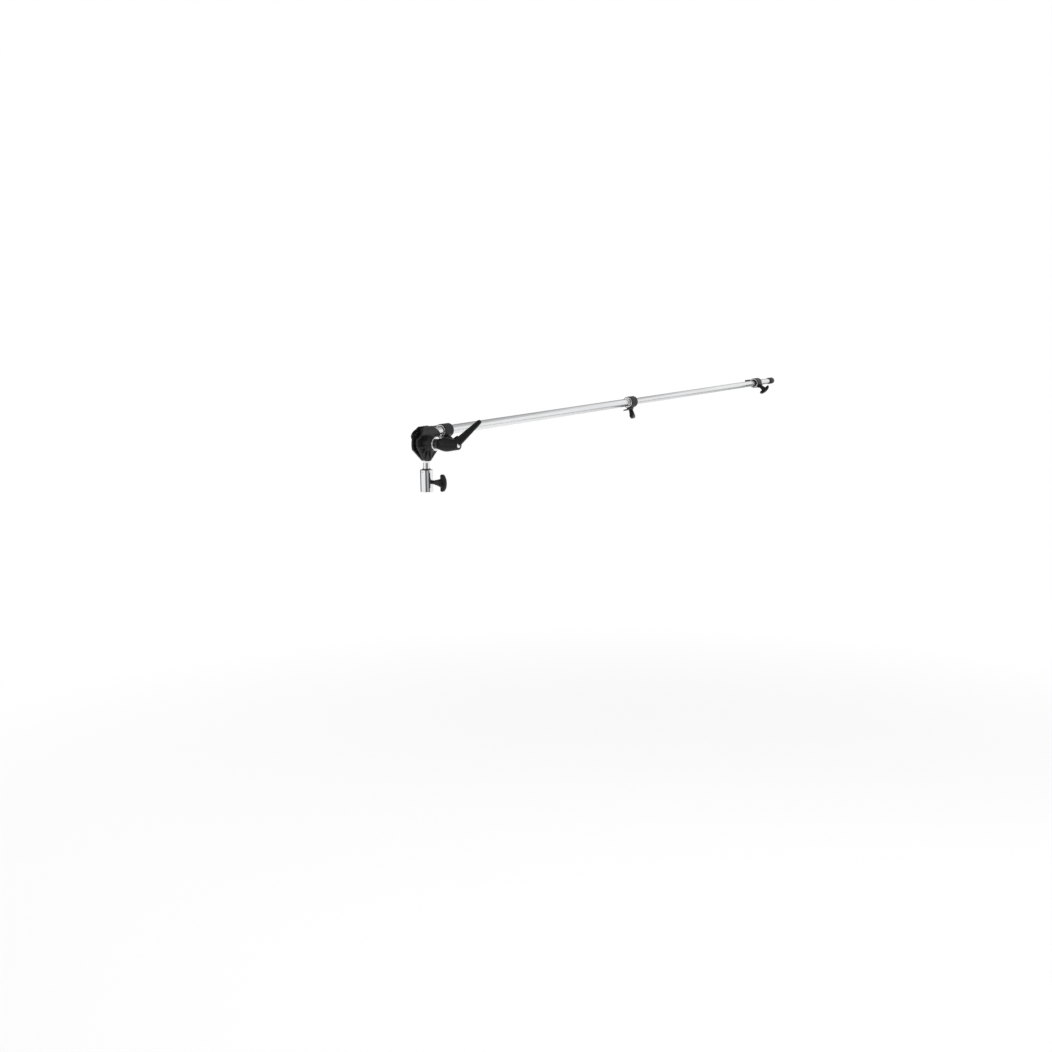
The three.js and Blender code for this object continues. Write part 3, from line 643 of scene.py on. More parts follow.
@dataclass(frozen=True)
class MouldedPlastic(Finish):
    """Black moulded plastic with a fine spark-eroded grain and polished-up edges."""

    grain: float = 2600
    relief: float = 3.5e-5

    def made(self) -> bpy.types.Material:
        """Builds the material."""
        bench = Bench(self.name, IOR=1.5, Specular_IOR_Level=0.2)
        self.hazed(bench, bench.noise(70, 5, 0.6), 0.85, 1.15)
        skin = self.mottled(bench, bench.noise(900, 3), self.toned(1.35, 0.002))
        bench.set(Base_Color=bench.blended(bench.worn_edges(), skin, self.toned(2.3, 0.012)))
        bench.bumped(bench.noise(self.grain, 2), self.relief, 0.6)
        bench.bumped(bench.noise(55, 2), 8e-5, 0.25)
        return bench.material


@dataclass(frozen=True)
class EnamelledCasting(Finish):
    """Black stoved enamel over a casting: slight orange peel, and bright metal on rubbed edges."""

    metal: Corner = (0.42, 0.42, 0.43)

    def made(self) -> bpy.types.Material:
        """Builds the material."""
        bench = Bench(self.name, IOR=1.52, Specular_IOR_Level=0.3)
        self.hazed(bench, bench.noise(60, 5, 0.6), 0.8, 1.2)
        coat = self.mottled(bench, bench.noise(500, 4), self.toned(1.4, 0.002))
        edges = bench.worn_edges(0.545, 0.6)
        bench.set(
            Base_Color=bench.blended(edges, coat, self.metal),
            Metallic=bench.spread(edges, 0, 0.8, 0, 1),
        )
        bench.bumped(bench.noise(750, 3), 9e-5, 0.45)
        bench.bumped(bench.noise(3200, 2), 2.5e-5, 0.4)
        return bench.material


@dataclass(frozen=True)
class Rubber(Finish):
    """Matte black rubber with a dusty bloom."""

    def made(self) -> bpy.types.Material:
        """Builds the material."""
        bench = Bench(self.name, IOR=1.5, Sheen_Weight=0.15)
        clouds = bench.noise(220, 6, 0.65)
        bench.set(Base_Color=self.mottled(bench, clouds, self.toned(1.8, 0.006)))
        self.hazed(bench, clouds, 0.9, 1.08)
        bench.bumped(bench.noise(1800, 3, 0.6), 5e-5, 0.6)
        return bench.material


CHROME = BrightPlating("bright_plating", (0.88, 0.885, 0.9), 0.07)
SATIN_CHROME = BrightPlating("satin_plating", (0.93, 0.935, 0.94), 0.27)
TUBE = DrawnTube("drawn_tube", (0.83, 0.835, 0.845), 0.19)
STEEL = TurnedSteel("turned_steel", (0.66, 0.665, 0.68), 0.26)
DARK_STEEL = TurnedSteel("blackened_steel", (0.07, 0.07, 0.075), 0.34)
PLASTIC = MouldedPlastic("moulded_plastic", (0.0065, 0.0063, 0.0068), 0.34)
NYLON = MouldedPlastic("plain_nylon", (0.013, 0.013, 0.0135), 0.55, 1400, 2e-5)
CASTING = EnamelledCasting("enamelled_casting", (0.0055, 0.0055, 0.006), 0.3)
RUBBER = Rubber("matte_rubber", (0.014, 0.014, 0.015), 0.82)


# Putting pieces in place


def install(shape: Shape, node: str, finish: Finish, place: Matrix, crease: float = 32) -> None:
    """Lays a shape into the row frame, in place of a solid and on its body.

    Args:
        shape: The shape in its own axes.
        node: The solid it stands for.
        finish: Its finish.
        place: From the shape's axes to the row frame, in millimetres.
        crease: Least bend of an edge that stays sharp, in degrees.
    """
    piece = shape.body
    piece.data.transform(Matrix.Scale(MM, 4) @ place)
    piece.name = f"{node}_finished"
    piece.data.materials.clear()
    piece.data.materials.append(finish.material())
    piece.data.shade_smooth()
    piece.data.set_sharp_from_angle(angle=math.radians(crease))
    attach(piece, frame["nodes"][node]["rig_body"])
    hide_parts(node)
    LOG.info("%s: %d faces", piece.name, len(piece.data.polygons))


# Sizes shared by the sub-assemblies, in millimetres


@dataclass(frozen=True)
class Fits:
    """Gaps between neighbours."""

    pressed: float = 0.06
    running: float = 0.12
    thread: float = 0.15
    seat: float = 0.2


@dataclass(frozen=True)
class ArmSizes:
    """Tube sizes and the axle and arm heights that the sub-assemblies share."""

    axle_height: float = 98
    above_axle: float = 19.5
    outer_radius: float = 9.5
    outer_bore: float = 8.2
    outer_start: float = -12
    outer_end: float = 820
    inner_radius: float = 8
    inner_bore: float = 6.8
    inner_start: float = 735
    inner_end: float = 1660

    @property
    def height(self) -> float:
        """Height of the tubes' axis."""
        return self.axle_height + self.above_axle


FIT = Fits()
ARM = ArmSizes()


def along_arm(start: float = 0) -> Matrix:
    """From axes with X along the arm to the row frame, from a place on the arm."""
    return Matrix.Translation((start, 0, ARM.height))


def facing_front(height: float) -> Matrix:
    """From axes with Y up and Z to the front to the row frame, at a height."""
    return Matrix.Translation((0, 0, height)) @ Matrix.Rotation(QUARTER, 4, "X")


@dataclass
class HandScrew:
    """A T-shaped grip on a threaded shank, drawn along +Z from the thread's tip."""

    radius: float
    pitch: float
    hub_radius: float
    hub_top_radius: float
    hub_length: float
    bar_length: float
    bar_height: float
    bar_thickness: float
    shoulder_share: float
    grip: float

    def shank(self, tip: float, end: float) -> Shape:
        """The threaded shank from its tip to its end inside the grip."""
        return threaded(self.radius, self.pitch, tip, end)

    def handle(self, start: float) -> Shape:
        """The moulded grip, whose hub starts at a height.

        Args:
            start: Height of the hub's foot.

        Returns:
            The grip.
        """
        foot = start + self.hub_length
        top = foot + self.bar_height
        hub = turned([
            (0, start),
            (self.hub_radius, start, 0.6),
            (self.hub_radius, start + self.hub_length * 0.2, 6),
            (self.hub_top_radius, foot, 3),
            (self.hub_top_radius, foot + self.bar_height / 2, 1.5),
            (0, foot + self.bar_height / 2),
        ])
        half = self.bar_length / 2
        foot_end, shoulder_end, crown_end = half * 0.86, half * 0.8, half * 0.5
        side = foot + self.bar_height * 0.25
        shoulder = foot + self.bar_height * self.shoulder_share
        slope = shoulder + self.bar_height * 0.125
        right = [Vector((foot_end, foot))]
        right += bowed((foot_end, foot), (half, foot), (half, side))
        right += bowed((half, side), (half, shoulder), (shoulder_end, slope))
        right += bowed((shoulder_end, slope), (crown_end, top), (0, top))
        left = [Vector((-point.x, point.y)) for point in reversed(right[:-1])]
        bar = plate(right + left, -self.bar_thickness / 2, self.bar_thickness / 2)
        bar.eased(self.bar_thickness * 0.24, 5)
        bar.spun(QUARTER, Axis.X)
        grip = hub.joined(bar).cast(cell=0.32, passes=6)
        bore = self.radius + FIT.running
        return grip.carved(rod(bore, start - OVERRUN, start + self.grip, sides=SCREW_SIDES))


SMALL_SCREW = HandScrew(
    radius=3, pitch=1, hub_radius=5.2, hub_top_radius=6.4, hub_length=12.5, bar_length=33,
    bar_height=10, bar_thickness=9, shoulder_share=0.62, grip=12,
)
LARGE_SCREW = HandScrew(
    radius=4, pitch=1.25, hub_radius=5.4, hub_top_radius=8.6, hub_length=14.5, bar_length=34.5,
    bar_height=12, bar_thickness=8.5, shoulder_share=0.55, grip=15,
)


@dataclass
class StandSocket:
    """The bright socket that goes over a stud, its stem and its hand screw."""

    radius: float = 12.7
    bore_radius: float = 8.1
    length: float = 45
    bore_depth: float = 37
    chamfer: float = 0.9
    screw_height: float = 20.5
    screw_start: float = 22
    pin_radius: float = 1.5
    stem_radius: float = 6.5
    stem_flat: float = 4.4
    stem_round_end: float = 59
    eye_radius: float = 9.2
    ring_radius: float = 8.2
    ring_thickness: float = 1.8
    axle_radius: float = 5
    hole_reach: float = 20

    def pin_height(self) -> float:
        """Height of the cross pin."""
        return (self.bore_depth + self.length) / 2

    def pin_hole(self, reach: float) -> Shape:
        """The cutter of the cross pin's hole."""
        hole = rod(self.pin_radius + FIT.pressed, -reach, reach, sides=PIN_SIDES)
        return hole.spun(QUARTER, Axis.Y).lifted(z=self.pin_height())

    def shell(self) -> Shape:
        """The socket with its bore and its screw and pin holes."""
        edge = self.chamfer
        neck = self.stem_radius + FIT.pressed
        body = turned([
            (self.bore_radius + edge, 0, 0.15),
            (self.radius - edge, 0, 0.4),
            (self.radius, edge, 0.5),
            (self.radius, self.length - edge, 0.5),
            (self.radius - edge, self.length, 0.4),
            (neck, self.length, 0.15),
            (neck, self.bore_depth),
            (self.bore_radius, self.bore_depth),
            (self.bore_radius, edge, 0.3),
        ], FINE_SIDES, closed=True)
        past = self.radius + OVERRUN
        screw_hole = rod(LARGE_SCREW.radius + FIT.thread, 0, past, sides=BORE_SIDES)
        screw_hole.spun(QUARTER, Axis.X).lifted(z=self.screw_height)
        return body.carved(screw_hole, self.pin_hole(past))

    def stem(self) -> Shape:
        """The stem: round below, milled flat above, with an eye for the axle."""
        height = ARM.axle_height
        lower = rod(self.stem_radius, self.bore_depth + FIT.seat, self.stem_round_end, 0.3)
        upper = rod(self.stem_radius, self.stem_round_end - OVERRUN, height)
        upper.kept_in(block(3 * self.stem_radius, self.stem_flat, 3 * height))
        eye = rod(self.eye_radius, -self.stem_flat / 2, self.stem_flat / 2)
        eye.spun(QUARTER, Axis.X).lifted(z=height)
        body = lower.joined(upper, eye).eased(0.3, 2)
        past = self.hole_reach
        hole = rod(self.axle_radius + FIT.running, -past, past, sides=BORE_SIDES)
        return body.carved(hole.spun(QUARTER, Axis.X).lifted(z=height), self.pin_hole(past))

    def build(self) -> None:
        """Makes and places the socket's pieces."""
        upright = Matrix.Identity(4)
        install(self.shell(), "receiver_socket", CHROME, upright)
        foot = self.length + FIT.seat
        ring = pipe(
            self.stem_radius + FIT.running, self.ring_radius, foot, foot + self.ring_thickness, 0.35
        )
        install(ring, "socket_ring", NYLON, upright)
        install(self.stem(), "stem", CHROME, upright)
        reach = self.radius - 0.05
        pin = rod(self.pin_radius, -reach, reach, 0.25, PIN_SIDES).spun(QUARTER, Axis.Y)
        install(pin.lifted(z=self.pin_height()), "stem_pin", STEEL, upright)
        outward = facing_front(self.screw_height)
        end = self.screw_start + LARGE_SCREW.grip - FIT.seat
        shank = LARGE_SCREW.shank(self.bore_radius + FIT.seat, end)
        install(shank, "socket_screw", DARK_STEEL, outward)
        handle = LARGE_SCREW.handle(self.screw_start).spun(QUARTER, Axis.Z)
        install(handle, "socket_knob", PLASTIC, outward)


@dataclass
class TiltHead:
    """Two cast jaws that pinch the stem's eye and the outer tube, with their axle."""

    radius: float = 36
    half_gap: float = 3.4
    plate_thickness: float = 3.8
    rim_width: float = 3.4
    rim_proud: float = 0.9
    saddle_wall: float = 3.4
    boss_foot: float = 19
    boss_top: float = 13
    front_boss: float = 16.8
    rear_boss: float = 8.5
    rib_thickness: float = 4
    rib_height: float = 4
    rib_inset: float = 2.4
    rib_angles: tuple[int, ...] = (-168, -139, -110, -81, -12)
    flats: tuple[tuple[float, float], ...] = ((-50, 5.5), (90, 2.5), (135, 1.5), (215, 4.5))
    axle_radius: float = 5
    head_across_flats: float = 17
    head_thickness: float = 6.4
    thread_in_lever: float = 22
    pocket_radius: float = 8
    pocket_depth: float = 9
    washer_thickness: float = 0.8
    stem_half: float = 2.2
    eye_radius: float = 9.2
    thrust_radius: float = 14
    thrust_thickness: float = 3
    height_limit: float = 40
    recess_end: float = 60
    coil_inset: float = 1
    wire_radius: float = 0.6
    coil_turns: float = 4.5

    @property
    def face(self) -> float:
        """Height of a jaw's outer face over the middle of the head."""
        return self.half_gap + self.plate_thickness

    @property
    def lever_base(self) -> float:
        """Height of the lever's foot over the middle of the head."""
        return self.face + self.front_boss + self.thrust_thickness + 2 * FIT.seat

    def front_place(self) -> Matrix:
        """From the front pieces' axes to the row frame."""
        return facing_front(ARM.axle_height)

    def rear_place(self) -> Matrix:
        """From the rear pieces' axes to the row frame."""
        return self.front_place() @ Matrix.Rotation(math.pi, 4, "Y")

    def outline(self, inset: float = 0) -> list[Vector]:
        """The jaw's edge: a circle with flats.

        Args:
            inset: How far inside the edge the line runs.

        Returns:
            The points of the edge.
        """
        radius = self.radius - inset
        points: list[Vector] = []
        for index, (degrees, cut) in enumerate(self.flats):
            after, after_cut = self.flats[(index + 1) % len(self.flats)]
            whole = TURN if after < degrees else 0
            start = math.radians(degrees) + math.acos((radius - cut) / radius)
            end = math.radians(after) + whole - math.acos((radius - after_cut) / radius)
            points += arc(radius, start, end, 96)
        return points

    def jaw(self, boss_length: float) -> Shape:
        """A cast jaw, drawn with Z out from the middle of the head and Y up.

        Args:
            boss_length: Height of the boss over the jaw's face.

        Returns:
            The jaw without its centre's recesses.
        """
        face = self.face
        clear = face + self.height_limit
        body = plate(self.outline(), self.half_gap, face).eased(0.8, 3)
        rim = plate(self.outline(), face - self.rim_proud, face + self.rim_proud)
        rim.carved(plate(self.outline(self.rim_width), face - 3, face + 3)).eased(0.7, 3)
        boss = turned([
            (0, self.half_gap + OVERRUN),
            (self.boss_foot, self.half_gap + OVERRUN),
            (self.boss_foot, face, 2),
            (self.boss_top, face + boss_length, 1.2),
            (0, face + boss_length),
        ])
        saddle = rod(ARM.outer_radius + self.saddle_wall, -self.radius, self.radius, 1.2)
        saddle.spun(QUARTER, Axis.Y).lifted(y=ARM.above_axle)
        saddle.kept_in(plate(self.outline(0.6), self.half_gap, clear))
        body.joined(rim, boss, saddle)
        within = self.outline(self.rib_inset)
        for degrees in self.rib_angles:
            side = [
                Vector((self.boss_top, face - OVERRUN)), Vector((self.radius, face - OVERRUN)),
                Vector((self.radius, face + self.rim_proud)),
                Vector((self.boss_top, face + self.rib_height)),
            ]
            rib = plate(side, -self.rib_thickness / 2, self.rib_thickness / 2).eased(0.7, 3)
            rib.spun(QUARTER, Axis.X).spun(math.radians(degrees), Axis.Z)
            body.joined(rib.kept_in(plate(within, self.half_gap, clear)))
        body.cast(cell=0.42, passes=5)
        groove = rod(ARM.outer_radius + FIT.running, -self.radius - OVERRUN, self.radius + OVERRUN)
        groove.spun(QUARTER, Axis.Y).lifted(y=ARM.above_axle)
        top = face + boss_length + OVERRUN
        hole = rod(self.axle_radius + FIT.running, 0, top, sides=BORE_SIDES)
        return body.carved(groove, hole)

    def hexagon(self, across_flats: float, low: float, high: float) -> Shape:
        """A hexagonal bar along Z."""
        radius = across_flats / 2 / math.cos(math.pi / 6)
        return plate(arc(radius, 0, TURN, 6)[:-1], low, high)

    def axle(self) -> Shape:
        """The bolt through both jaws, with its head behind."""
        floor = self.face + self.rear_boss - self.head_thickness + FIT.seat
        head = self.hexagon(self.head_across_flats, -floor - self.head_thickness, -floor)
        crown = turned([
            (0, -floor - self.head_thickness),
            (self.head_across_flats / 2 - 0.4, -floor - self.head_thickness),
            (self.head_across_flats / 2 + 1.4, -floor - self.head_thickness + 0.9),
            (self.head_across_flats / 2 + 1.4, -floor),
            (0, -floor),
        ])
        head.kept_in(crown).eased(0.15, 2)
        end = self.lever_base + self.thread_in_lever
        return head.joined(rod(self.axle_radius, -floor - OVERRUN, end, 0.5, BORE_SIDES))

    def build(self) -> None:
        """Makes and places the head's pieces."""
        front, rear = self.front_place(), self.rear_place()
        top = self.half_gap + self.pocket_depth
        near = self.jaw(self.front_boss).carved(rod(self.pocket_radius, 0, top))
        install(near, "front_jaw", CASTING, front, CAST_CREASE)
        rear_top = self.face + self.rear_boss
        floor = rear_top - self.head_thickness
        recess = self.hexagon(self.head_across_flats + 2 * FIT.seat, floor, self.recess_end)
        install(self.jaw(self.rear_boss).carved(recess), "rear_jaw", CASTING, rear, CAST_CREASE)
        install(self.axle(), "head_axle", STEEL, front)
        bore = self.axle_radius + FIT.running
        middle, half = (self.half_gap + self.stem_half) / 2, self.washer_thickness / 2
        for node, place in (("front_friction_washer", front), ("rear_friction_washer", rear)):
            washer = pipe(bore, self.eye_radius, middle - half, middle + half, 0.15)
            install(washer, node, NYLON, place)
        middle_radius = self.pocket_radius - self.coil_inset
        spring = coil(
            middle_radius, self.wire_radius, self.half_gap, top - FIT.seat, self.coil_turns
        )
        install(spring, "jaw_spring", STEEL, front)
        foot = self.face + self.front_boss + FIT.seat
        thrust = pipe(bore, self.thrust_radius, foot, self.lever_base - FIT.seat, 0.7)
        install(thrust, "thrust_washer", SATIN_CHROME, front)


@dataclass
class RatchetLever:
    """The lever that turns the nut on the axle; stations count from its foot."""

    base: float
    insert_radius: float = 10
    insert_neck: float = 9
    tooth_radius: float = 8
    tooth_ring: float = 4
    tooth_count: int = 16
    tooth_height: float = 0.9
    insert_top_radius: float = 7.2
    insert_top: float = 32
    mouth_radius: float = 11.2
    mouth_start: float = 7.4
    belly_radius: float = 14
    belly_start: float = 20
    belly_end: float = 27
    nose_radius: float = 8.6
    length: float = 55.5
    spring_floor: float = 41
    spring_well: float = 6
    screw_radius: float = 2.5
    screw_head_radius: float = 5.2
    screw_head_thickness: float = 3.2
    screw_head_sunk: float = 0.8
    slot: float = 1.3
    axle_radius: float = 5
    bore_depth: float = 22.2
    arm_root: Corner = (0, 1.5, 46.5)
    arm_tip: Corner = (44.5, 46, 76)
    root_half: tuple[float, float] = (9.5, 8.5)
    tip_half: tuple[float, float] = (4.7, 4.5)
    coil_inset: float = 1.2
    wire_radius: float = 0.6
    coil_turns: float = 5

    def place(self) -> Matrix:
        """From the lever's axes to the row frame."""
        return facing_front(ARM.axle_height) @ Matrix.Translation((0, 0, self.base))

    def toothed(self, radius: float, low: float, high: float) -> Shape:
        """A ring of square teeth."""
        corners = 4 * self.tooth_count
        outline = []
        for index in range(corners):
            angle = (index + 0.5) / corners * TURN
            reach = radius + self.tooth_height if index % 4 < 2 else radius
            outline.append(Vector((reach * math.cos(angle), reach * math.sin(angle))))
        return plate(outline, low, high)

    def insert(self) -> Shape:
        """The toothed nut."""
        bore = self.axle_radius + FIT.running
        tapped = (self.insert_top + self.bore_depth) / 2
        core = turned([
            (0, self.bore_depth), (bore, self.bore_depth), (bore, 0, 0.3),
            (self.insert_radius, 0, 0.5), (self.insert_radius, self.insert_neck, 0.4),
            (self.insert_top_radius, self.insert_neck),
            (self.insert_top_radius, self.insert_top, 0.4),
            (self.screw_radius + FIT.running, self.insert_top),
            (self.screw_radius + FIT.running, tapped), (0, tapped),
        ])
        neck = self.insert_neck
        ring = self.toothed(self.tooth_radius, neck - OVERRUN, neck + self.tooth_ring)
        ring.carved(rod(bore, -1, self.bore_depth, sides=BORE_SIDES))
        return core.joined(ring)

    def handle(self) -> Shape:
        """The handle: a round barrel that runs into a flattened arm."""
        barrel = turned([
            (0, self.mouth_start),
            (self.mouth_radius, self.mouth_start, 0.8),
            (self.belly_radius, self.belly_start, 26),
            (self.belly_radius, self.belly_end, 30),
            (self.nose_radius, self.length, 1.1),
            (0, self.length),
        ], FINE_SIDES, steps=12)
        start, end = Vector(self.arm_root), Vector(self.arm_tip)
        along = (end - start).normalized()
        across = Vector((0, 0, 1)).cross(along).normalized()
        over = along.cross(across)
        straight = (end - start).length - self.tip_half[0]
        rings = []
        for station in (index / 24 * straight for index in range(25)):
            share = station / straight
            wide, thick = (
                root + (tip - root) * share for root, tip in zip(self.root_half, self.tip_half)
            )
            rings.append((start + along * station, wide, thick))
        wide, thick = self.tip_half
        for dome in (QUARTER * index / 9 for index in range(1, 9)):
            centre = start + along * (straight + wide * math.sin(dome))
            rings.append((centre, wide * math.cos(dome), thick * math.cos(dome)))
        angles = [side / 40 * TURN for side in range(40)]
        arm = skinned([
            [
                centre + over * (wide * math.cos(angle)) + across * (thick * math.sin(angle))
                for angle in angles
            ]
            for centre, wide, thick in rings
        ])
        body = barrel.joined(arm).cast(cell=0.34, passes=12)
        neck_end = self.insert_neck + FIT.seat
        teeth_top = self.insert_neck + self.tooth_ring
        wells = (
            rod(self.insert_radius + FIT.seat, self.mouth_start - OVERRUN, neck_end),
            self.toothed(self.tooth_radius + FIT.seat, self.insert_neck, teeth_top + FIT.seat),
            rod(
                self.tooth_radius + self.tooth_height + FIT.seat, teeth_top,
                self.insert_top + FIT.seat,
            ),
            rod(self.screw_radius + FIT.seat, self.insert_top, self.length, sides=SCREW_SIDES),
            rod(self.spring_well, self.spring_floor, self.length + OVERRUN),
        )
        return body.carved(*wells)

    def screw(self) -> Shape:
        """The slotted screw that holds the handle on the insert."""
        top = self.length - self.screw_head_sunk
        foot = top - self.screw_head_thickness
        tip = (self.insert_top + self.bore_depth) / 2 + FIT.seat
        shank = rod(self.screw_radius, tip, foot + OVERRUN, 0.3, SCREW_SIDES)
        head = rod(self.screw_head_radius, foot, top, 0.55)
        slot = block(2 * self.screw_head_radius + OVERRUN, self.slot, 2 * self.slot, (0, 0, top))
        return shank.joined(head).carved(slot).eased(0.08, 2)

    def build(self) -> None:
        """Makes and places the lever's pieces."""
        place = self.place()
        install(self.insert(), "lever_insert", DARK_STEEL, place)
        install(self.handle(), "lever_handle", PLASTIC, place, CAST_CREASE)
        top = self.length - self.screw_head_sunk - self.screw_head_thickness - FIT.seat
        foot = self.spring_floor + FIT.seat
        middle_radius = self.spring_well - self.coil_inset
        spring = coil(middle_radius, self.wire_radius, foot, top, self.coil_turns)
        install(spring, "lever_spring", STEEL, place)
        install(self.screw(), "lever_screw", CHROME, place)


@dataclass
class TelescopicArm:
    """The two tubes with their plug, guide bush and cap."""

    lock: "Collar"
    lock_hole_gap: float = 1.6
    plug_flange: float = 2.6
    plug_spigot: float = 14
    bush_flange: float = 8
    bush_spigot: float = 12
    cap_radius: float = 9.2
    cap_depth: float = 23
    cap_floor: float = 4
    cap_edge: float = 2.2
    grip_rings: int = 2
    grip_depth: float = 0.5
    grip_width: float = 1.4
    tube_ease: float = 0.25

    def plug(self) -> Shape:
        """The plug in the outer tube's end."""
        start = ARM.outer_start - FIT.seat
        spigot = ARM.outer_bore - FIT.running
        return turned([
            (0, start - self.plug_flange),
            (ARM.outer_radius, start - self.plug_flange, 1.1),
            (ARM.outer_radius, start, 0.15),
            (spigot, start),
            (spigot, start + self.plug_spigot, 0.5),
            (spigot * 0.6, start + self.plug_spigot, 0.4),
            (spigot * 0.6, start),
            (0, start),
        ])

    def bush(self) -> Shape:
        """The guide bush on the inner tube's hidden end."""
        start = ARM.inner_start - FIT.seat
        bore = ARM.inner_bore / 2
        return turned([
            (bore, start - self.bush_flange, 0.3),
            (ARM.outer_bore - FIT.running, start - self.bush_flange, 0.6),
            (ARM.outer_bore - FIT.running, start, 0.2),
            (ARM.inner_bore - FIT.running, start),
            (ARM.inner_bore - FIT.running, start + self.bush_spigot, 0.5),
            (bore, start + self.bush_spigot, 0.3),
        ], closed=True)

    def cap(self) -> Shape:
        """The cap on the inner tube's far end, with grip rings."""
        mouth = ARM.inner_end + FIT.seat - self.cap_depth
        inner_end = mouth + self.cap_depth
        bore = ARM.inner_radius + FIT.pressed
        radius, depth, width = self.cap_radius, self.grip_depth, self.grip_width
        profile: list[Corner] = [
            (0, inner_end), (bore, inner_end), (bore, mouth, 0.15), (radius, mouth, depth),
        ]
        for ring in range(self.grip_rings):
            place = mouth + (2 + 2 * ring) * width
            profile += [
                (radius, place, 0.2), (radius - depth, place + depth * 0.6, 0.25),
                (radius - depth, place + width - depth * 0.6, 0.25), (radius, place + width, 0.2),
            ]
        end = inner_end + self.cap_floor
        profile += [(radius, end, self.cap_edge), (0, end)]
        return turned(profile, steps=8)

    def build(self) -> None:
        """Makes and places the arm's pieces."""
        place = along_arm() @ Matrix.Rotation(QUARTER, 4, "Y")
        install(self.plug(), "arm_end_plug", PLASTIC, place)
        outer = pipe(
            ARM.outer_bore, ARM.outer_radius, ARM.outer_start, ARM.outer_end, self.tube_ease,
            FINE_SIDES,
        )
        hole = self.lock.screw_hole(SMALL_SCREW.radius + self.lock_hole_gap)
        outer.spun(QUARTER, Axis.Y).carved(hole.lifted(x=self.lock.place))
        install(outer, "outer_tube", TUBE, along_arm())
        install(self.bush(), "inner_guide_bush", NYLON, place)
        inner = pipe(
            ARM.inner_bore, ARM.inner_radius, ARM.inner_start, ARM.inner_end, self.tube_ease,
            FINE_SIDES,
        )
        install(inner, "inner_tube", TUBE, place)
        install(self.cap(), "arm_end_cap", PLASTIC, place)


@dataclass
class Collar:
    """A moulded collar with a boss and a hand screw, drawn round the middle of its length."""

    place: float
    screw_offset: float = -7
    screw_angle: float = 17
    radius: float = 14
    length: float = 28
    chamfer: float = 1.3
    bush_radius: float = 10.5
    boss_height: float = 2
    boss_width: float = 15
    boss_depth: float = 13
    ring_gap: float = 0.3
    ring_outer: float = 12.5
    ring_thickness: float = 1.8
    ring_proud: float = 0.7
    cell: float = 0.36

    def downwards(self) -> Matrix:
        """From axes along the screw to the collar's own axes."""
        return Matrix.Rotation(math.pi - math.radians(self.screw_angle), 4, "X")

    def screw_place(self) -> Matrix:
        """From the screw's axes to the row frame."""
        return along_arm(self.place + self.screw_offset) @ self.downwards()

    def shell(self, bore: float) -> Shape:
        """The collar without its screw hole.

        Args:
            bore: Radius of the hole along the arm.

        Returns:
            The collar, solid inside, with its boss.
        """
        half = self.length / 2
        body = rod(self.radius, -half, half, self.chamfer, FINE_SIDES).spun(QUARTER, Axis.Y)
        top = self.radius + self.boss_height
        foot = bore + 2
        boss = block(self.boss_width, self.boss_depth, top - foot).eased(1.1, 4)
        boss.lifted(x=self.screw_offset, z=(top + foot) / 2).moved(self.downwards())
        return body.joined(boss)

    def screw_hole(self, radius: float = SMALL_SCREW.radius + FIT.thread) -> Shape:
        """The cutter of the screw's hole."""
        hole = rod(radius, 0, self.radius + self.boss_height + OVERRUN, sides=SCREW_SIDES)
        return hole.lifted(x=self.screw_offset).moved(self.downwards())

    def ring(self, sleeve_radius: float) -> Shape:
        """The bright ring on the near face, round a sleeve."""
        face = -self.length / 2 - self.ring_proud
        inner = sleeve_radius + self.ring_gap
        end = face + self.ring_thickness - FIT.seat
        return pipe(inner, self.ring_outer, face, end, 0.45, FINE_SIDES).spun(QUARTER, Axis.Y)

    def ring_seat(self) -> Shape:
        """The cutter of the ring's seat."""
        face = -self.length / 2
        depth = self.ring_thickness - self.ring_proud
        return self.bore_cutter(self.ring_outer + FIT.seat, face - OVERRUN, face + depth)

    def bore_cutter(self, radius: float, low: float, high: float) -> Shape:
        """A round cutter along the arm."""
        return rod(radius, low, high, sides=FINE_SIDES).spun(QUARTER, Axis.Y)

    def fit_screw(self, prefix: str, tip: float, grip_start: float, grip_turn: float) -> None:
        """Makes and places the hand screw.

        Args:
            prefix: First words of the pieces' names.
            tip: Height of the screw's tip over the arm's axis.
            grip_start: Height of the grip's foot over the arm's axis.
            grip_turn: Turn of the grip about the screw, in degrees.
        """
        place = self.screw_place()
        shank = SMALL_SCREW.shank(tip, grip_start + SMALL_SCREW.grip - FIT.seat)
        install(shank, f"{prefix}_screw", STEEL, place)
        handle = SMALL_SCREW.handle(grip_start).spun(math.radians(grip_turn), Axis.Z)
        install(handle, f"{prefix}_knob", PLASTIC, place)


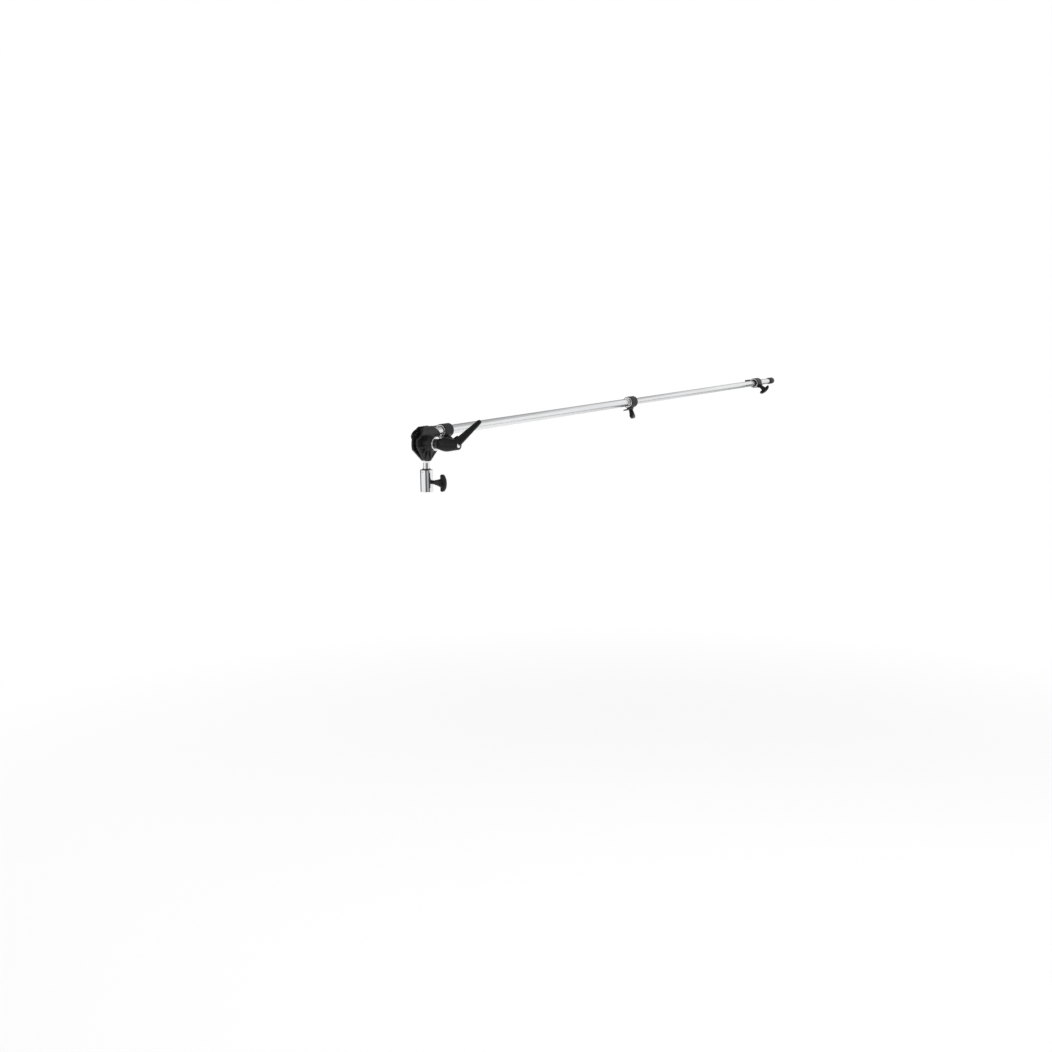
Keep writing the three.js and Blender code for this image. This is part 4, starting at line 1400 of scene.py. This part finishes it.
@dataclass
class LockCollar(Collar):
    """The collar on the outer tube's end that locks the inner tube."""

    place: float = 813
    grip_turn: float = -20
    past_tube: float = 7
    shoe_radius: float = 2.9
    shoe_thickness: float = 1.5
    tab_width: float = 12
    tab_thickness: float = 2.6
    tab_reach: float = 30
    tab_tail: float = 6.5
    tab_slot_width: float = 3.6
    tab_slot_length: float = 9

    def tab(self, base: float) -> Shape:
        """The thin tab under the grip.

        Args:
            base: Height of the tab's underside over the arm's axis.

        Returns:
            The tab.
        """
        half, reach = self.tab_width / 2, self.tab_reach
        round_end = arc(half, QUARTER, 3 * QUARTER, 32)
        outline = [Vector((point.x - reach + half, point.y)) for point in round_end]
        outline += rounded([
            (-reach + half, -half), (self.tab_tail, -half, half / 2),
            (self.tab_tail, half, half / 2), (-reach + half, half),
        ])[1:-1]
        body = plate(outline, base, base + self.tab_thickness).eased(0.5, 3)
        low, high = base - OVERRUN, base + self.tab_thickness + OVERRUN
        hole = rod(SMALL_SCREW.radius + FIT.seat, low, high, sides=SCREW_SIDES)
        middle = -reach + self.tab_slot_length
        gap = (self.tab_slot_length - self.tab_slot_width) / 2
        slot_half = self.tab_slot_width / 2
        ends = arc(slot_half, -QUARTER, QUARTER, 16)
        slot_line = [Vector((point.x + middle + gap, point.y)) for point in ends]
        slot_line += [Vector((middle - gap - point.x, -point.y)) for point in ends]
        return body.carved(hole, plate(slot_line, low, high))

    def build(self) -> None:
        """Makes and places the lock's pieces."""
        half = self.length / 2
        bore = ARM.inner_radius + FIT.running
        body = self.shell(bore).cast(self.cell, passes=4)
        seat_end = half - self.past_tube + 0.3
        seat = self.bore_cutter(ARM.outer_radius + FIT.pressed, -half - OVERRUN, seat_end)
        hole = self.bore_cutter(bore, -half - OVERRUN, half + OVERRUN)
        body.carved(hole, seat, self.ring_seat(), self.screw_hole())
        install(body, "lock_collar", PLASTIC, along_arm(self.place), CAST_CREASE)
        install(self.ring(ARM.outer_radius), "lock_ring", SATIN_CHROME, along_arm(self.place))
        place = self.screw_place()
        foot = ARM.inner_radius + FIT.seat
        top = foot + self.shoe_thickness
        install(rod(self.shoe_radius, foot, top, 0.2, SCREW_SIDES), "lock_shoe", NYLON, place)
        base = self.radius + self.boss_height + FIT.seat
        install(self.tab(base), "lock_tab", CASTING, place)
        grip_start = base + self.tab_thickness + FIT.seat
        self.fit_screw("lock", top + FIT.seat, grip_start, self.grip_turn)


@dataclass
class RimClip(Collar):
    """A sliding collar with a hook behind it that takes a rim."""

    prefix: str = "near_clip"
    inward: int = 1
    tube_radius: float = 9.5
    grip_turn: float = 45
    screw_angle: float = 49
    gap: float = 10
    lip: float = 4.2
    wall: float = 7
    hook_height: float = 16
    reach: float = 28
    corner: float = 3
    bead: float = 1.2
    pad_thickness: float = 1.4
    pad_inset: float = 1.5

    def hook(self) -> Shape:
        """The hook behind the collar."""
        half = self.length / 2
        inner = self.radius + FIT.running + self.gap
        outer = inner + self.lip
        end = -half + self.reach
        outline = rounded([
            (-half, 0), (-half + self.wall, 0), (-half + self.wall, inner, self.corner),
            (end - 3 * self.bead, inner, 1), (end - 2 * self.bead, inner - self.bead, 0.5),
            (end, inner - self.bead, 0.5), (end, outer, self.lip / 2), (-half, outer, self.corner),
        ], closed=True, steps=6)
        body = plate(outline, -self.hook_height / 2, self.hook_height / 2).eased(0.8, 3)
        return body.spun(math.pi, Axis.Y) if self.inward < 0 else body

    def build(self) -> None:
        """Makes and places the clip's pieces."""
        half = self.length / 2
        bore = self.bush_radius + FIT.pressed
        place = along_arm(self.place)
        body = self.shell(bore).joined(self.hook()).cast(self.cell, passes=4)
        hole = self.bore_cutter(bore, -half - OVERRUN, half + OVERRUN)
        body.carved(hole, self.ring_seat(), self.screw_hole())
        install(body, f"{self.prefix}_body", PLASTIC, place, CAST_CREASE)
        bush = pipe(self.tube_radius + FIT.running, self.bush_radius, -half, half, 0.2, FINE_SIDES)
        bush.spun(QUARTER, Axis.Y)
        install(bush.carved(self.screw_hole()), f"{self.prefix}_bush", NYLON, place)
        install(self.ring(self.bush_radius), f"{self.prefix}_ring", SATIN_CHROME, place)
        low = -half + self.wall + self.corner
        high = -half + self.reach - 4 * self.bead
        middle = self.radius + self.gap - self.pad_thickness / 2
        height = self.hook_height - 2 * self.pad_inset
        pad = block(high - low, self.pad_thickness, height).eased(0.4, 3)
        pad.lifted(self.inward * (low + high) / 2, middle)
        install(pad, f"{self.prefix}_pad", RUBBER, place)
        grip_start = self.radius + self.boss_height + FIT.seat
        self.fit_screw(self.prefix, self.tube_radius + FIT.seat, grip_start, self.grip_turn)


@dataclass
class Studio:
    """The camera, the lamps, the world and the pale floor, in metres."""

    lens: float = 45.113
    sensor: float = 36
    seen_from: float = 0.05
    seen_to: float = 60
    eye: Corner = (-2.03955, -1.63689, 0.40349)
    right: Corner = (0.563919, -0.825787, -0.008451)
    up: Corner = (0.152636, 0.094166, 0.983786)
    forward: Corner = (0.811602, 0.556066, -0.179146)
    lamps: tuple[tuple[Corner, float, float], ...] = (
        ((-1.8, -2.2, 2.6), 1.8, 70.0),
        ((2.6, -2.4, 2.0), 1.6, 55.0),
        ((0.6, 2.8, 2.4), 2.0, 60.0),
    )
    lamp_target: Corner = (0.6, 0, 0.1)
    screens: tuple[tuple[float, float], ...] = (
        (0, 1), (0.03, 1), (0.05, 0.07), (0.09, 0.07), (0.12, 0.35), (0.15, 0.5), (0.19, 0.5),
        (0.21, 0.06), (0.245, 0.06), (0.28, 1), (0.52, 1), (0.56, 0.45), (0.6, 0.45),
        (0.63, 0.08), (0.77, 0.08), (0.795, 1), (1, 1),
    )
    bands: tuple[tuple[float, float], ...] = (
        (0, 0.62), (0.315, 0.62), (0.33, 0.3), (0.36, 0.3), (0.385, 0.92), (0.5, 1), (0.7, 1),
        (0.79, 0.58), (1, 0.55),
    )
    plain_light: Corner = (0.62, 0.62, 0.62)
    floor_color: Corner = (0.86, 0.86, 0.86)
    floor_middle: Corner = (0.8, 0, -1.35)
    floor_radius: float = 4.3
    fade_start: float = 1.2
    fade_end: float = 3.6
    fade_least: float = 0.35

    def camera(self) -> None:
        """Sets the camera at the viewing angle of the photograph."""
        data = bpy.data.cameras.new("photo_camera")
        data.lens, data.sensor_width = self.lens, self.sensor
        data.clip_start, data.clip_end = self.seen_from, self.seen_to
        seen = linked("photo_camera", data)
        rows = (Vector(self.right), Vector(self.up), -Vector(self.forward))
        seen.matrix_world = Matrix.Translation(self.eye) @ Matrix(rows).transposed().to_4x4()
        bpy.context.scene.camera = seen

    def light(self) -> None:
        """Hangs the soft lamps."""
        for index, (place, size, power) in enumerate(self.lamps):
            data = bpy.data.lights.new(f"soft_lamp_{index}", "AREA")
            data.energy, data.size = power, size
            lamp = linked(data.name, data)
            lamp.location = place
            lamp.visible_glossy = False
            aim = Vector(self.lamp_target) - Vector(place)
            lamp.rotation_euler = aim.to_track_quat("-Z", "Y").to_euler()

    def world(self) -> None:
        """Lights the object evenly, with pale walls and some dark screens for the metal to show."""
        world = bpy.data.worlds.new("studio")
        bpy.context.scene.world = world
        nodes = Nodes(world)
        nodes.tree.nodes.clear()
        path = nodes.node("LightPath").outputs
        places = nodes.node("TexCoord").outputs["Generated"]
        round_about = nodes.node("TexGradient", {"Vector": places}, gradient_type="RADIAL")
        height = nodes.node("SeparateXYZ", {"Vector": places}).outputs["Z"]
        level = nodes.node("MapRange", {"From Min": -1, "Value": height}).outputs["Result"]
        screens = nodes.ramp(round_about.outputs["Fac"], self.screens)
        bands = nodes.ramp(level, self.bands)
        both = {0: 1, 6: screens, 7: bands}
        walls = nodes.node("Mix", both, data_type="RGBA", blend_type="MULTIPLY").outputs[2]
        plain, mirrored, white = (
            nodes.node("Background", {"Color": color}).outputs[0]
            for color in (self.plain_light, walls, (1, 1, 1))
        )
        around = nodes.mixed(path["Is Glossy Ray"], plain, mirrored)
        nodes.node("OutputWorld", {"Surface": nodes.mixed(path["Is Camera Ray"], around, white)})

    def floor(self) -> None:
        """Lays a pale floor that runs out to white."""
        middle = self.floor_middle
        mesh = bpy.data.meshes.new("floor")
        rim = arc(self.floor_radius, 0, TURN, 64)[:-1]
        corners = [(x + middle[0], y, middle[2]) for x, y in rim]
        mesh.from_pydata(corners, [], [tuple(range(len(corners)))])
        ground = linked("floor", mesh)
        bench = Bench("pale_floor", Base_Color=self.floor_color, Roughness=0.9)
        seen = bench.node("LightPath").outputs["Is Camera Ray"]
        inputs = {0: bench.places, 1: middle}
        distance = bench.node("VectorMath", inputs, operation="DISTANCE").outputs["Value"]
        inputs = {
            "From Min": self.fade_start, "From Max": self.fade_end, "To Min": self.fade_least,
            "Value": distance,
        }
        fade = bench.node("MapRange", inputs, interpolation_type="SMOOTHSTEP").outputs["Result"]
        white = bench.node("Emission").outputs[0]
        mixed = bench.mixed(bench.product(seen, fade), bench.surface.outputs[0], white)
        bench.link(mixed, bench.tree.nodes["Material Output"].inputs["Surface"])
        mesh.materials.append(bench.material)

    def build(self) -> None:
        """Sets up the whole studio."""
        self.camera()
        self.light()
        self.world()
        self.floor()
        bpy.context.scene.view_settings.view_transform = "Standard"


def main() -> None:
    """Builds the sub-assemblies in order, then the studio."""
    logging.basicConfig(level=logging.INFO, format="%(name)s %(message)s")
    head, lock = TiltHead(), LockCollar()
    parts = (
        StandSocket(),
        head,
        RatchetLever(base=head.lever_base),
        TelescopicArm(lock),
        lock,
        RimClip(place=61),
        RimClip(
            place=1550, screw_offset=7, screw_angle=53, prefix="far_clip", inward=-1,
            tube_radius=ARM.inner_radius,
        ),
    )
    for part in parts:
        part.build()
        LOG.info("%s is built", type(part).__name__)
    Studio().build()


if __name__ == "__main__":
    main()
